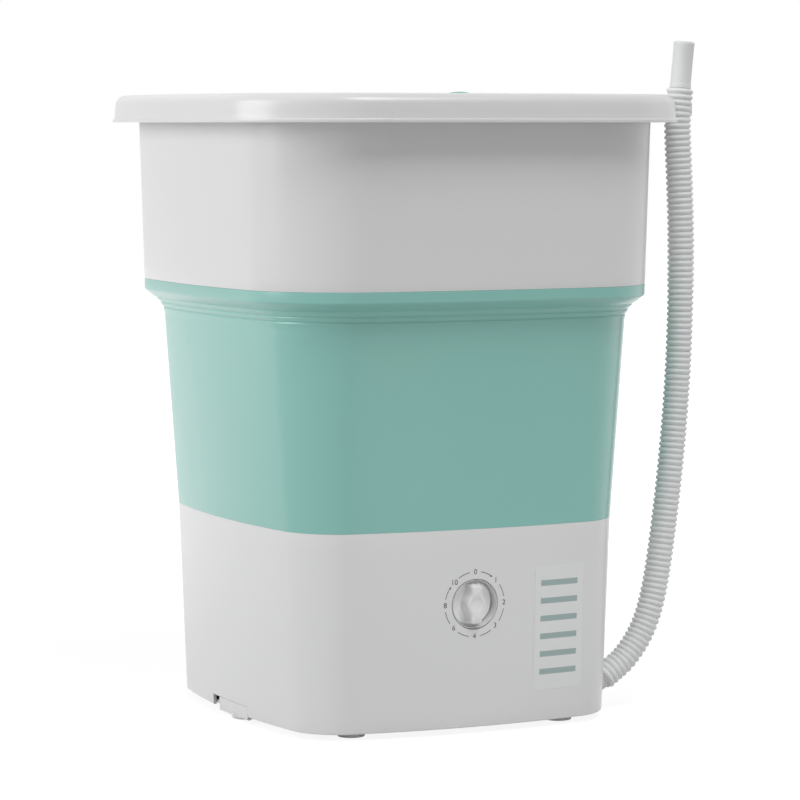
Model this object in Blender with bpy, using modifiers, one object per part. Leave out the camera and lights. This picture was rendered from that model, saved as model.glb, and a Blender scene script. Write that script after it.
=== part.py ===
"""A portable washing machine whose tub folds down round its base.

The frame is metres with +Z up, the origin on the floor under the tub's axis, and the knob on the -Y side.
The tub's plan is a square with large round corners and sides that bow outwards a little.
Every casing is a section of (half width, height) points that is carried round that plan.
"""

import math

import bmesh
import bpy
from mathutils import Matrix, Vector

# Clearances and small values that every piece shares
SEAT_GAP = 0.0003
RUN_GAP = 0.0004
CUT_OVERRUN = 0.003
MERGE_WITHIN = 0.00005

# How finely curves are cut into flats, and the turn up to which two flats are shaded as one surface
CORNER_STEPS = 4
SIDE_STEPS = 4
FILLET_STEPS = 3
SMALL_FILLET = 0.0022
TURN_STEPS = 20
SMALL_TURN_STEPS = 10
HOLE_STEPS = 8
TUBE_SIDES = 8
SMOOTH_WITHIN = math.radians(50)

# Plan of the tub
BASE_FOOT_HALF = 0.1257
BASE_DRAFT = 0.0055
HOOP_STEP = 0.0249
HOOP_DRAFT = 0.0035
RIM_OVERHANG = 0.0202
DEPTH_EXTRA = 0.0087
SIDE_BOW = 0.0138
CORNER_RADIUS = 0.027
BASE_TOP_HALF = BASE_FOOT_HALF + BASE_DRAFT
HOOP_FOOT_HALF = BASE_TOP_HALF + HOOP_STEP
HOOP_TOP_HALF = HOOP_FOOT_HALF + HOOP_DRAFT
RIM_HALF = HOOP_TOP_HALF + RIM_OVERHANG

# Heights of the casings, stacked from the floor up
FOOT_DROP = 0.0045
BASE_RISE = 0.1518
BELLOWS_RISE = 0.181
HOOP_RISE = 0.1241
RIM_RISE = 0.0215
BASE_LOW = FOOT_DROP
BASE_HIGH = BASE_LOW + BASE_RISE
HOOP_LOW = BASE_HIGH + BELLOWS_RISE
RIM_LOW = HOOP_LOW + HOOP_RISE
RIM_HIGH = RIM_LOW + RIM_RISE

# Base shell and the ledge inside it that carries the wash pan
BASE_WALL = 0.0025
BASE_EDGE_ROUND = 0.002
LEDGE_DROP = 0.020
LEDGE_WIDTH = 0.0045
LEDGE_THICK = 0.003
LEDGE_TOP = BASE_HIGH - LEDGE_DROP

# Bellows
BELLOWS_WALL = 0.0024
BAND_RISE = 0.0085
BAND_ROUND = 0.0025
RAMP_IN = 0.0068
RAMP_DOWN = 0.0054
COVE_RADIUS = 0.022
COVE_STEPS = 4
BELLOWS_TUCK = 0.009

# Hoop, and the ring that clamps the bellows in it
HOOP_WALL = 0.0026
CLAMP_WALL = 0.003
CLAMP_DROP = 0.002
CLAMP_CAP = 0.003

# Rim
RIM_WALL = 0.0026
RIM_FLARE = 0.0028
RIM_ROUND = 0.0085
RIM_BEAD_RISE = 0.0028
RIM_BEAD_STEP = 0.0007
LEDGE_LIP = 0.006
LID_SINK = 0.0088

# Lid
LID_WALL = 0.0024
LID_GAP = 0.001
LID_BORDER = 0.020
LID_CORNER_SHARE = 0.82
LID_FIELD_RISE = 0.0012
DISH_RADIUS = 0.0095
DISH_DEPTH = 0.0085
PULL_PLACE_Y = -0.1233
PULL_HALF = 0.012
PULL_RISE = 0.0062
PULL_TUBE = 0.0015
PULL_STEPS = 10

# Lid hinge
HINGE_KNUCKLE = 0.0032
HINGE_PIN = 0.0012
HINGE_PLACE = 0.060
KNUCKLE_LENGTH = 0.026
EAR_WIDTH = 0.006
EAR_FRONT_SHARE = 0.6
EAR_TOP_SHARE = 0.75
ARM_TOP_SHARE = 0.33
HINGE_TONGUE = 0.0026

# Feet and the bottom cover
COVER_LIFT = 0.001
COVER_THICK = 0.0025
FOOT_RADIUS = 0.011
FOOT_X_SHARE = 0.7
FOOT_INSET = 0.0154
FOOT_DRAFT_SHARE = 0.94
FOOT_STEM = 0.0034
FOOT_STEM_RISE = 0.004
FOOT_TIP_SHARE = 0.6
VENT_COUNT = 4
VENT_LENGTH = 0.052
VENT_WIDTH = 0.003
VENT_PITCH = 0.009
VENT_PLACE_Y = 0.082
COVER_LOW = BASE_LOW + COVER_LIFT
COVER_HIGH = COVER_LOW + COVER_THICK
FOOT_PLACE_X = BASE_FOOT_HALF * FOOT_X_SHARE
FOOT_PLACE_Y = BASE_FOOT_HALF + DEPTH_EXTRA - FOOT_INSET

# Where the hose stands along the side, and the screws and the pillars that take them beside it
HOSE_INSET = 0.0414
HOSE_Y = -(BASE_FOOT_HALF + DEPTH_EXTRA - HOSE_INSET)
PILLAR_RADIUS = 0.0048
PILLAR_INSET = 0.0085
PILLAR_HIGH = 0.046
PILLAR_STEP = 0.025
RIB_THICK = 0.0024
SCREW_RADIUS = 0.0016
SCREW_HEAD = 0.0034
HEAD_TOP_SHARE = 0.8
SCREW_HEAD_RISE = 0.002
BOTTOM_SCREW_LENGTH = 0.018
PILLAR_PLACE_Y = -HOSE_Y - PILLAR_STEP

# Side cover over the cord bay, with its own foot, and the slot left beside it
BAY_FRONT_Y = -0.037
BAY_SPLIT_Y = 0.018
BAY_BACK_Y = 0.032
BAY_RISE = 0.0085
SIDE_COVER_DROP = 0.0023
SIDE_FOOT_RADIUS = 0.010
SIDE_FOOT_BEYOND = 0.0028
SIDE_FOOT_Y = -0.011
SIDE_FOOT_X = -BASE_FOOT_HALF - SIDE_FOOT_BEYOND

# Wash pan
PAN_WALL = 0.003
PAN_RISE = 0.0095
PAN_DEPTH = 0.032
PAN_ROUND = 0.010
PAN_BORDER = 0.012
PAN_FLOOR = BASE_HIGH - PAN_DEPTH
POST_RADIUS = 0.0052

# Drive plate under the pan, and its screws
MOTOR_Y_SHARE = 0.6205
PLATE_THICK = 0.002
PLATE_DROP = 0.026
PLATE_HALF = 0.054
PLATE_FRONT_Y = -0.046
PLATE_BEYOND_MOTOR = 0.046
PLATE_ROUND = 0.010
PLATE_ROUND_STEPS = 3
PLATE_SCREW_EDGE = 0.009
PLATE_SCREW_INSET = 0.010
PLATE_SCREW_LENGTH = 0.012
MOTOR_Y = BASE_FOOT_HALF * MOTOR_Y_SHARE
PLATE_BACK_Y = MOTOR_Y + PLATE_BEYOND_MOTOR
PLATE_SCREW_X = PLATE_HALF - PLATE_SCREW_EDGE
PLATE_SCREW_YS = (PLATE_FRONT_Y + PLATE_SCREW_INSET, PLATE_BACK_Y - PLATE_SCREW_INSET)
PLATE_HIGH = PAN_FLOOR - PAN_WALL - PLATE_DROP
PLATE_LOW = PLATE_HIGH - PLATE_THICK

# Pulsator and its shaft
PULSATOR_SHARE = 0.6762
PULSATOR_LIFT = 0.003
PULSATOR_EDGE = 0.004
PULSATOR_DOME = 0.015
PULSATOR_WALL = 0.003
PULSATOR_HUB = 0.012
DOME_MIDDLE_SHARES = (0.5, 0.55)
DOME_LOW_SHARES = (0.8, 0.12)
CROWN_WALL_SHARE = 1.5
VANE_SINK_SHARE = 0.35
VANE_COUNT = 4
VANE_LENGTH = 0.034
VANE_WIDTH = 0.0085
VANE_RISE = 0.0075
VANE_PLACE = 0.047
VANE_TURN = math.radians(20)
VANE_SEGMENTS = 10
VANE_RINGS = 6
PULSATOR_STEPS = 22
SHAFT_RADIUS = 0.005
SHAFT_NECK = 0.004
SHAFT_LOW = 0.012
CAP_SCREW_HEAD = 0.0075
CAP_SCREW_RISE = 0.003
CAP_TOP_SHARE = 0.6
CAP_SIDE_SHARE = 0.4
CAP_SCREW_RADIUS = 0.002
CAP_SCREW_LENGTH = 0.010
PULSATOR_RADIUS = BASE_FOOT_HALF * PULSATOR_SHARE

# Bearing housing and seal
HOUSING_RADIUS = 0.014
HOUSING_FLANGE = 0.026
FLANGE_THICK = 0.003
HOUSING_TAIL = 0.016
SEAL_RADIUS = 0.0095
SEAL_RISE = 0.004

# Belt drive
PULLEY_LOW = 0.016
PULLEY_WIDTH = 0.012
PULLEY_SHARE = 0.6667
MOTOR_PULLEY_RADIUS = 0.016
PULLEY_HUB = 0.010
PULLEY_WEB = 0.003
PULLEY_RIM = 0.006
PULLEY_STEPS = 20
MOTOR_PULLEY_STEPS = 16
PULLEY_HOLES = 5
PULLEY_HOLE_RADIUS = 0.0095
BELT_WIDTH = 0.007
BELT_THICK = 0.004
GROOVE_DEPTH = 0.005
NUT_RADIUS = 0.008
NUT_RISE = 0.0035
BELT_ARC_STEPS = 10
PULLEY_RADIUS = MOTOR_Y * PULLEY_SHARE

# Motor, which fills the room between the plate and the pulleys but for a gap under it
MOTOR_RADIUS = 0.036
MOTOR_LIFT = 0.015
MOTOR_BELL = 0.008
MOTOR_STEP = 0.003
MOTOR_BOSS = 0.011
MOTOR_SHAFT = 0.003
MOTOR_SHAFT_IN = 0.012
MOTOR_BOLT_PLACE = 0.024
MOTOR_BOLT_LENGTH = 0.008
MOTOR_LOW = PULLEY_LOW + PULLEY_WIDTH + MOTOR_LIFT

# Capacitor in its cup
CAPACITOR_RADIUS = 0.0145
CAPACITOR_RISE = 0.052
CAPACITOR_X_SHARE = 0.6364
CAPACITOR_Y_SHARE = 0.6046
CAPACITOR_TOP_SHARE = 0.9
CAPACITOR_SIDE_SHARE = 0.97
CUP_WALL = 0.0018
CUP_RISE = 0.016
CAPACITOR_X = -BASE_FOOT_HALF * CAPACITOR_X_SHARE
CAPACITOR_Y = BASE_FOOT_HALF * CAPACITOR_Y_SHARE

# Dial: a cup sunk in the front wall, the timer behind it, and the knob in it
DIAL_DROP = 0.0223
WELL_RADIUS = 0.01915
WELL_DEPTH = 0.0092
WELL_WALL = 0.0014
KNOB_RADIUS = 0.0172
KNOB_SKIRT = 0.0016
KNOB_PROUD = 0.0040
GRIP_HALF = 0.0158
GRIP_THICK = 0.0075
GRIP_HUB = 0.0098
GRIP_DRAFT_SHARE = 0.86
DIMPLE_RADIUS = 0.0052
DIMPLE_DEPTH = 0.0008
TIMER_SHAFT = 0.003
TIMER_SHAFT_IN = 0.008
TIMER_SHARE = 0.942
TIMER_DEPTH = 0.026
TIMER_ROUND = 0.003
DIAL_Z = PAN_FLOOR - PAN_WALL - DIAL_DROP
TIMER_HALF = DIAL_DROP * TIMER_SHARE

# Drain: strainer, inner pipe, spout, hose, cuff and the clip on the rim
SUMP_INSET = 0.0317
SUMP_RADIUS = 0.0115
STRAINER_RADIUS = 0.0165
STRAINER_THICK = 0.002
STRAINER_SKIRT = 0.006
STRAINER_TOP_SHARE = 0.9
STRAINER_HOLES = 5
STRAINER_STEPS = 16
STRAINER_HOLE_RADIUS = 0.0022
STRAINER_HOLE_PLACE = 0.0068
DRAIN_PIPE_RADIUS = 0.008
DRAIN_BORE = 0.0055
DRAIN_FLANGE = 0.016
ELBOW_RADIUS = 0.015
SPOUT_RADIUS = 0.0075
SPOUT_INSET = 0.0112
SPOUT_NECK = 0.003
SPOUT_BEND_RADIUS = 0.0095
SPOUT_BEND_STEPS = 3
SPOUT_TILT = math.radians(36)
SPOUT_BEAD = 0.0090
SPOUT_BEAD_THICK = 0.0012
SPIGOT_RADIUS = 0.0062
SPIGOT_LENGTH = 0.012
ELBOW_STEPS = 5
HOSE_RADIUS = 0.01065
HOSE_VALLEY = 0.0090
HOSE_BORE = 0.0071
HOSE_PITCH = 0.0045
HOSE_BORE_STEP = 0.018
CURVE_SAMPLES = 24
CUFF_RADIUS = 0.0088
CUFF_BORE = 0.0068
CUFF_LENGTH = 0.0365
CUFF_EDGE = 0.0006
CLIP_STANDOFF = 0.028
CLIP_BORE = 0.01295
CLIP_WALL = 0.002
CLIP_LOW_SHARE = 0.25
CLIP_RISE = 0.010
CLIP_FROM = math.radians(20)
CLIP_TO = math.radians(215)
CLIP_STEPS = 14
CLIP_PAD_LENGTH = 0.018
CLIP_PAD_STEP = 0.015
SUMP_X = BASE_FOOT_HALF - SUMP_INSET
SPOUT_INNER_X = BASE_FOOT_HALF - SPOUT_INSET
CLIP_CENTRE_X = RIM_HALF + CLIP_STANDOFF
CLIP_LOW = RIM_LOW + RIM_RISE * CLIP_LOW_SHARE
CLIP_PAD_Y = HOSE_Y + CLIP_PAD_STEP

# The hose's centreline at HOSE_Y from the spout to the cuff, as (beyond BASE_FOOT_HALF, height) points
HOSE_ROUTE = [
    (0.0155, 0.0248),
    (0.0240, 0.0310),
    (0.0325, 0.0372),
    (0.0395, 0.0445),
    (0.0462, 0.0533),
    (0.0518, 0.0633),
    (0.0563, 0.0742),
    (0.0601, 0.0870),
    (0.0632, 0.1010),
    (0.0659, 0.1165),
    (0.0685, 0.1340),
    (0.0712, 0.1540),
    (0.0739, 0.1750),
    (0.0764, 0.1980),
    (0.0786, 0.2210),
    (0.0805, 0.2450),
    (0.0822, 0.2720),
    (0.0833, 0.3010),
    (0.0839, 0.3300),
    (0.0839, 0.3600),
    (0.0834, 0.3880),
    (0.0822, 0.4160),
    (0.0810, 0.4390),
    (0.0803, 0.4550),
    (0.0804, 0.4671),
    (0.0813, 0.4776),
    (0.0823, 0.4880),
]

# Colour, roughness and metallic value of each finish
FINISHES = {
    "white_gloss": ((0.80, 0.80, 0.80), 0.32, 0.0),
    "white_matt": ((0.74, 0.75, 0.75), 0.55, 0.0),
    "teal_soft": ((0.28, 0.56, 0.50), 0.42, 0.0),
    "teal_gloss": ((0.18, 0.55, 0.50), 0.30, 0.0),
    "hose_white": ((0.72, 0.73, 0.73), 0.45, 0.0),
    "rubber": ((0.05, 0.05, 0.05), 0.80, 0.0),
    "foot_grey": ((0.62, 0.62, 0.62), 0.75, 0.0),
    "steel": ((0.62, 0.62, 0.63), 0.32, 1.0),
    "motor_grey": ((0.30, 0.31, 0.32), 0.45, 0.6),
    "inner_grey": ((0.45, 0.46, 0.47), 0.60, 0.0),
}

model = None
helpers = None
smooth_shading = None


def clear_scene():
    for obj in list(bpy.data.objects):
        bpy.data.objects.remove(obj, do_unlink=True)


def new_collection(name):
    made = bpy.data.collections.new(name)
    bpy.context.scene.collection.children.link(made)
    return made


def smooth_by_angle():
    """A node group that shades a piece smooth where it turns by less than SMOOTH_WITHIN."""
    group = bpy.data.node_groups.new("smooth_by_angle", "GeometryNodeTree")
    group.interface.new_socket("Geometry", in_out="INPUT", socket_type="NodeSocketGeometry")
    group.interface.new_socket("Geometry", in_out="OUTPUT", socket_type="NodeSocketGeometry")
    incoming = group.nodes.new("NodeGroupInput")
    outgoing = group.nodes.new("NodeGroupOutput")
    turn = group.nodes.new("GeometryNodeInputMeshEdgeAngle")
    gentle = group.nodes.new("FunctionNodeCompare")
    gentle.operation = "LESS_THAN"
    gentle.inputs["B"].default_value = SMOOTH_WITHIN
    faces = group.nodes.new("GeometryNodeSetShadeSmooth")
    edges = group.nodes.new("GeometryNodeSetShadeSmooth")
    edges.domain = "EDGE"
    group.links.new(incoming.outputs["Geometry"], faces.inputs["Geometry"])
    group.links.new(faces.outputs["Geometry"], edges.inputs["Geometry"])
    group.links.new(turn.outputs["Unsigned Angle"], gentle.inputs["A"])
    group.links.new(gentle.outputs["Result"], edges.inputs["Shade Smooth"])
    group.links.new(edges.outputs["Geometry"], outgoing.inputs["Geometry"])
    return group


def place(obj, finish):
    """Puts a finished sub-part in the model with a material of its own."""
    model.objects.link(obj)
    colour, roughness, metallic = FINISHES[finish]
    material = bpy.data.materials.new(obj.name)
    material.use_nodes = True
    shader = material.node_tree.nodes["Principled BSDF"]
    shader.inputs["Base Color"].default_value = (*colour, 1)
    shader.inputs["Roughness"].default_value = roughness
    shader.inputs["Metallic"].default_value = metallic
    obj.data.materials.append(material)
    shading = obj.modifiers.new("Shading", "NODES")
    shading.node_group = smooth_shading
    return obj


def helper(obj):
    """Marks a cutter, or a shape that is joined into another, as no part of the model."""
    helpers.objects.link(obj)
    obj.hide_render = True
    obj.display_type = "WIRE"
    return obj


def axis_empty(name, location, turn=None):
    """The parent of what moves on one joint, with its origin on the joint's axis."""
    empty = bpy.data.objects.new(name, None)
    model.objects.link(empty)
    empty.location = location
    if turn is not None:
        empty.rotation_euler = turn.to_euler()
    bpy.context.view_layer.update()
    return empty


def hang(obj, empty):
    """Parents an object to an axis and leaves it where it is."""
    obj.parent = empty
    obj.matrix_parent_inverse = empty.matrix_world.inverted()
    return obj


def object_of(name, shape):
    mesh = bpy.data.meshes.new(name)
    shape.to_mesh(mesh)
    shape.free()
    return bpy.data.objects.new(name, mesh)


def boolean(obj, operand, operation):
    modifier = obj.modifiers.new(operation.title(), "BOOLEAN")
    modifier.object = operand
    modifier.operation = operation
    modifier.solver = "EXACT"
    return obj


def cut(obj, cutter):
    return boolean(obj, cutter, "DIFFERENCE")


def join(obj, other):
    return boolean(obj, other, "UNION")


def keep_inside(obj, envelope):
    return boolean(obj, envelope, "INTERSECT")


def box(name, low, high):
    """A box between two corners, with its origin at its middle."""
    shape = bmesh.new()
    bmesh.ops.create_cube(shape, size=1)
    low, high = Vector(low), Vector(high)
    bmesh.ops.scale(shape, vec=high - low, verts=shape.verts)
    obj = object_of(name, shape)
    obj.location = (low + high) / 2
    return obj


def rods(name, places, radius, low, high, steps=SMALL_TURN_STEPS):
    """Upright round rods of one size in one object."""
    shape = bmesh.new()
    for x, y in places:
        bmesh.ops.create_cone(
            shape,
            cap_ends=True,
            segments=steps,
            radius1=radius,
            radius2=radius,
            depth=high - low,
            matrix=Matrix.Translation((x, y, (low + high) / 2)),
        )
    return object_of(name, shape)


def stub(name, low_radius, high_radius, low, high):
    """One upright cone on the local Z axis."""
    shape = bmesh.new()
    bmesh.ops.create_cone(
        shape,
        cap_ends=True,
        segments=TURN_STEPS,
        radius1=low_radius,
        radius2=high_radius,
        depth=high - low,
        matrix=Matrix.Translation((0, 0, (low + high) / 2)),
    )
    return object_of(name, shape)


def turned(name, profile, steps=TURN_STEPS, closed=False):
    """A turned piece. The profile's (radius, height) points run down its outer side."""
    edges = [(i, i + 1) for i in range(len(profile) - 1)]
    if closed:
        edges.append((len(profile) - 1, 0))
    mesh = bpy.data.meshes.new(name)
    mesh.from_pydata([(radius, 0, height) for radius, height in profile], edges, [])
    obj = bpy.data.objects.new(name, mesh)
    screw = obj.modifiers.new("Turn", "SCREW")
    screw.steps = screw.render_steps = steps
    screw.use_merge_vertices = True
    screw.merge_threshold = MERGE_WITHIN
    screw.use_smooth_shade = False
    return obj


def filleted(corners, closed=True, arc_steps=FILLET_STEPS):
    """A section's (half width, height) points, from its (half width, height, radius of arc) corners."""
    points = []
    for i, (across, height, radius) in enumerate(corners):
        here = Vector((across, height))
        if radius == 0 or (not closed and i in (0, len(corners) - 1)):
            points.append(tuple(here))
            continue
        before = Vector(corners[i - 1][:2]) - here
        after = Vector(corners[(i + 1) % len(corners)][:2]) - here
        half_turn = before.angle(after) / 2
        reach = min(radius / math.tan(half_turn), before.length / 2, after.length / 2)
        radius = reach * math.tan(half_turn)
        between = (before.normalized() + after.normalized()).normalized()
        middle = here + between * (radius / math.sin(half_turn))
        start = here + before.normalized() * reach - middle
        sweep = start.angle_signed(here + after.normalized() * reach - middle)
        steps = arc_steps if radius > SMALL_FILLET else 1
        for step in range(steps + 1):
            turn = Matrix.Rotation(-sweep * step / steps, 2)
            points.append(tuple(middle + turn @ start))
    return points


def half_depth(half):
    return half + DEPTH_EXTRA


def side_x(half, y):
    """How far out the side wall of the plan of this half width is at y."""
    return half + SIDE_BOW * (1 - (y / half_depth(half)) ** 2)


def front_y(half, x):
    """How far out the front or back wall of the plan of this half width is at x."""
    return half_depth(half) + SIDE_BOW * (1 - (x / half) ** 2)


def plan_ring(half):
    """The tub's plan at one level: a rectangle with round corners, bowed out along each side."""
    depth = half_depth(half)
    radius = CORNER_RADIUS + half - BASE_FOOT_HALF
    ends = []
    for quarter in range(4):
        start = quarter * math.pi / 2
        middle = start + math.pi / 4
        centre_x = math.copysign(half - radius, math.cos(middle))
        centre_y = math.copysign(depth - radius, math.sin(middle))
        for step in range(CORNER_STEPS + 1):
            angle = start + step * math.pi / 2 / CORNER_STEPS
            ends.append((centre_x + radius * math.cos(angle), centre_y + radius * math.sin(angle)))
    points = []
    for i, (x, y) in enumerate(ends):
        points.append((x, y))
        if i % (CORNER_STEPS + 1) == CORNER_STEPS:
            next_x, next_y = ends[(i + 1) % len(ends)]
            for step in range(1, SIDE_STEPS):
                share = step / SIDE_STEPS
                points.append((x + (next_x - x) * share, y + (next_y - y) * share))
    return [
        (
            x + x / half * SIDE_BOW * (1 - (y / depth) ** 2),
            y + y / depth * SIDE_BOW * (1 - (x / half) ** 2),
        )
        for x, y in points
    ]


def loft(name, section, closed=True):
    """Carries a section round the plan. A closed one makes a ring, and an open one is capped at both ends."""
    shape = bmesh.new()
    rings = [[shape.verts.new((x, y, height)) for x, y in plan_ring(half)] for half, height in section]
    pairs = list(zip(rings, rings[1:]))
    if closed:
        pairs.append((rings[-1], rings[0]))
    else:
        shape.faces.new(rings[0])
        shape.faces.new(rings[-1])
    for one, other in pairs:
        for i in range(len(one)):
            j = (i + 1) % len(one)
            shape.faces.new((one[i], one[j], other[j], other[i]))
    bmesh.ops.recalc_face_normals(shape, faces=shape.faces)
    return object_of(name, shape)


def wall_inside(line, wall):
    """A line of (half width, height) points moved one wall's thickness towards the tub's axis."""
    moved = []
    for i, (half, height) in enumerate(line):
        if i in (0, len(line) - 1):
            moved.append((half - wall, height))
            continue
        along = Vector(line[i + 1]) - Vector(line[i - 1])
        out = Vector((along.y, -along.x)).normalized()
        moved.append((half - wall * out.x, height - wall * out.y))
    return moved


def tube(name, points, radius, radii=None, tilt=0):
    """A round bar along points, as a closed mesh with TUBE_SIDES sides."""
    curve = bpy.data.curves.new(name, "CURVE")
    curve.dimensions = "3D"
    curve.bevel_depth = radius
    curve.bevel_resolution = TUBE_SIDES // 2 - 2
    curve.use_fill_caps = True
    spline = curve.splines.new("POLY")
    spline.points.add(len(points) - 1)
    for i, point in enumerate(points):
        spline.points[i].co = (*point, 1)
        spline.points[i].radius = radii[i] / radius if radii else 1
        spline.points[i].tilt = tilt
    drawn = bpy.data.objects.new(name, curve)
    bpy.context.scene.collection.objects.link(drawn)
    bpy.context.view_layer.update()
    graph = bpy.context.evaluated_depsgraph_get()
    mesh = bpy.data.meshes.new_from_object(drawn.evaluated_get(graph))
    mesh.transform(drawn.matrix_world)
    bpy.data.objects.remove(drawn)
    bpy.data.curves.remove(curve)
    shape = bmesh.new()
    shape.from_mesh(mesh)
    bmesh.ops.remove_doubles(shape, verts=shape.verts, dist=MERGE_WITHIN)
    bmesh.ops.recalc_face_normals(shape, faces=shape.faces)
    shape.to_mesh(mesh)
    shape.free()
    mesh.name = name
    return bpy.data.objects.new(name, mesh)


def flat_plate(name, loops, low, high):
    """A plate between two heights whose outline, and the holes in it, are loops of (x, y) points."""
    curve = bpy.data.curves.new(name, "CURVE")
    curve.dimensions = "2D"
    curve.fill_mode = "BOTH"
    curve.extrude = (high - low) / 2
    for loop in loops:
        spline = curve.splines.new("POLY")
        spline.points.add(len(loop) - 1)
        for point, (x, y) in zip(spline.points, loop):
            point.co = (x, y, 0, 1)
        spline.use_cyclic_u = True
    drawn = bpy.data.objects.new(name, curve)
    bpy.context.scene.collection.objects.link(drawn)
    bpy.context.view_layer.update()
    graph = bpy.context.evaluated_depsgraph_get()
    mesh = bpy.data.meshes.new_from_object(drawn.evaluated_get(graph))
    bpy.data.objects.remove(drawn)
    bpy.data.curves.remove(curve)
    shape = bmesh.new()
    shape.from_mesh(mesh)
    bmesh.ops.remove_doubles(shape, verts=shape.verts, dist=MERGE_WITHIN)
    bmesh.ops.recalc_face_normals(shape, faces=shape.faces)
    shape.to_mesh(mesh)
    shape.free()
    obj = bpy.data.objects.new(name, mesh)
    obj.location.z = (low + high) / 2
    return obj


def arc(centre_x, centre_y, radius, start, end, steps):
    angles = [start + (end - start) * step / steps for step in range(steps + 1)]
    return [(centre_x + radius * math.cos(a), centre_y + radius * math.sin(a)) for a in angles]


def screw_profile(head_radius, head_rise, radius, length):
    """A pan head screw with its head's underside at height zero and its point upwards."""
    return [
        (0, length),
        (radius, length),
        (radius, 0),
        (head_radius, 0),
        (head_radius * HEAD_TOP_SHARE, -head_rise),
        (0, -head_rise),
    ]


def base_half(height):
    return BASE_FOOT_HALF + (BASE_TOP_HALF - BASE_FOOT_HALF) * (height - BASE_LOW) / BASE_RISE


def hoop_half(height):
    return HOOP_FOOT_HALF + (HOOP_TOP_HALF - HOOP_FOOT_HALF) * (height - HOOP_LOW) / HOOP_RISE


def dial_turn():
    """Turns +Z to the front wall's outward normal, with +Y up the wall."""
    lean = math.atan((BASE_TOP_HALF - BASE_FOOT_HALF) / BASE_RISE)
    return Matrix.Rotation(math.pi / 2 + lean, 3, "X")


def dial_point():
    return Vector((0, -front_y(base_half(DIAL_Z), 0), DIAL_Z))


def pillar_places():
    inner = base_half(COVER_HIGH) - BASE_WALL
    x = side_x(inner, PILLAR_PLACE_Y) - PILLAR_INSET
    return [(side * x, end * PILLAR_PLACE_Y) for side in (1, -1) for end in (1, -1)]


def foot_places():
    return [(side * FOOT_PLACE_X, end * FOOT_PLACE_Y) for side in (1, -1) for end in (1, -1)]


def plate_screw_places():
    return [(side * PLATE_SCREW_X, y) for side in (1, -1) for y in PLATE_SCREW_YS]


def motor_bolt_places():
    return [
        (MOTOR_BOLT_PLACE * math.cos(a), MOTOR_Y + MOTOR_BOLT_PLACE * math.sin(a))
        for a in (math.pi / 4 + quarter * math.pi / 2 for quarter in range(4))
    ]


def make_base_shell():
    inner = [(base_half(z) - BASE_WALL, z, 0) for z in (LEDGE_TOP, LEDGE_TOP - LEDGE_THICK - LEDGE_WIDTH)]
    lip = inner[0][0] - LEDGE_WIDTH
    section = filleted(
        [
            (BASE_FOOT_HALF, BASE_LOW, BASE_EDGE_ROUND),
            (BASE_TOP_HALF, BASE_HIGH, 0),
            (BASE_TOP_HALF - BASE_WALL, BASE_HIGH, 0),
            inner[0],
            (lip, LEDGE_TOP, 0),
            (lip, LEDGE_TOP - LEDGE_THICK, 0),
            inner[1],
            (BASE_FOOT_HALF - BASE_WALL, BASE_LOW, 0),
        ]
    )
    shell = loft("base_shell", section)

    middle = BASE_WALL / 2
    envelope = helper(
        loft(
            "shell_middle",
            [(BASE_FOOT_HALF - middle, BASE_LOW), (BASE_TOP_HALF - middle, BASE_HIGH)],
            closed=False,
        )
    )
    low = COVER_HIGH + SEAT_GAP
    pillars = helper(rods("pillars", pillar_places(), PILLAR_RADIUS, low, PILLAR_HIGH))
    for x, y in pillar_places():
        reach = math.copysign(BASE_TOP_HALF + SIDE_BOW, x)
        sides = sorted((x, reach))
        rib = box(
            "pillar_rib",
            (sides[0], y - RIB_THICK / 2, low + RIB_THICK),
            (sides[1], y + RIB_THICK / 2, PILLAR_HIGH - RIB_THICK),
        )
        keep_inside(helper(rib), envelope)
        join(pillars, rib)
    join(shell, pillars)
    bores = rods(
        "pillar_bores",
        pillar_places(),
        SCREW_RADIUS + SEAT_GAP,
        low - CUT_OVERRUN,
        low + BOTTOM_SCREW_LENGTH,
        HOLE_STEPS,
    )
    cut(shell, helper(bores))

    well = rods("dial_hole", [(0, 0)], WELL_RADIUS + SEAT_GAP, -WELL_DEPTH, WELL_DEPTH, TURN_STEPS)
    well.matrix_world = Matrix.Translation(dial_point()) @ dial_turn().to_4x4()
    cut(shell, helper(well))

    spout_z = spout_bend()[1]
    hole = rods("spout_hole", [(0, 0)], SPOUT_RADIUS + RUN_GAP, -WELL_DEPTH, WELL_DEPTH, TURN_STEPS)
    hole.location = (side_x(base_half(spout_z), HOSE_Y), HOSE_Y, spout_z)
    hole.rotation_euler = (0, math.pi / 2, 0)
    cut(shell, helper(hole))

    bay = box(
        "cord_bay",
        (-BASE_TOP_HALF - SIDE_BOW, BAY_FRONT_Y, BASE_LOW - CUT_OVERRUN),
        (-BASE_FOOT_HALF, BAY_BACK_Y, BASE_LOW + BAY_RISE),
    )
    cut(shell, helper(bay))
    place(shell, "white_gloss")


def make_side_cover():
    """A snap-in cover flush with the shell, moulded with a round foot."""
    low = BASE_LOW - SIDE_COVER_DROP
    high = BASE_LOW + BAY_RISE - SEAT_GAP
    cover = loft(
        "side_cover",
        [
            (base_half(low), low),
            (base_half(high), high),
            (base_half(high) - BASE_WALL, high),
            (base_half(low) - BASE_WALL, low),
        ],
    )
    window = box(
        "side_cover_window",
        (-BASE_TOP_HALF - SIDE_BOW, BAY_FRONT_Y + SEAT_GAP, low - CUT_OVERRUN),
        (-BASE_FOOT_HALF, BAY_SPLIT_Y, high + CUT_OVERRUN),
    )
    keep_inside(cover, helper(window))
    place_at = [(SIDE_FOOT_X, SIDE_FOOT_Y)]
    foot = rods("side_foot", place_at, SIDE_FOOT_RADIUS, 0, COVER_LOW - SEAT_GAP, TURN_STEPS)
    join(cover, helper(foot))
    place(cover, "white_gloss")


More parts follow.
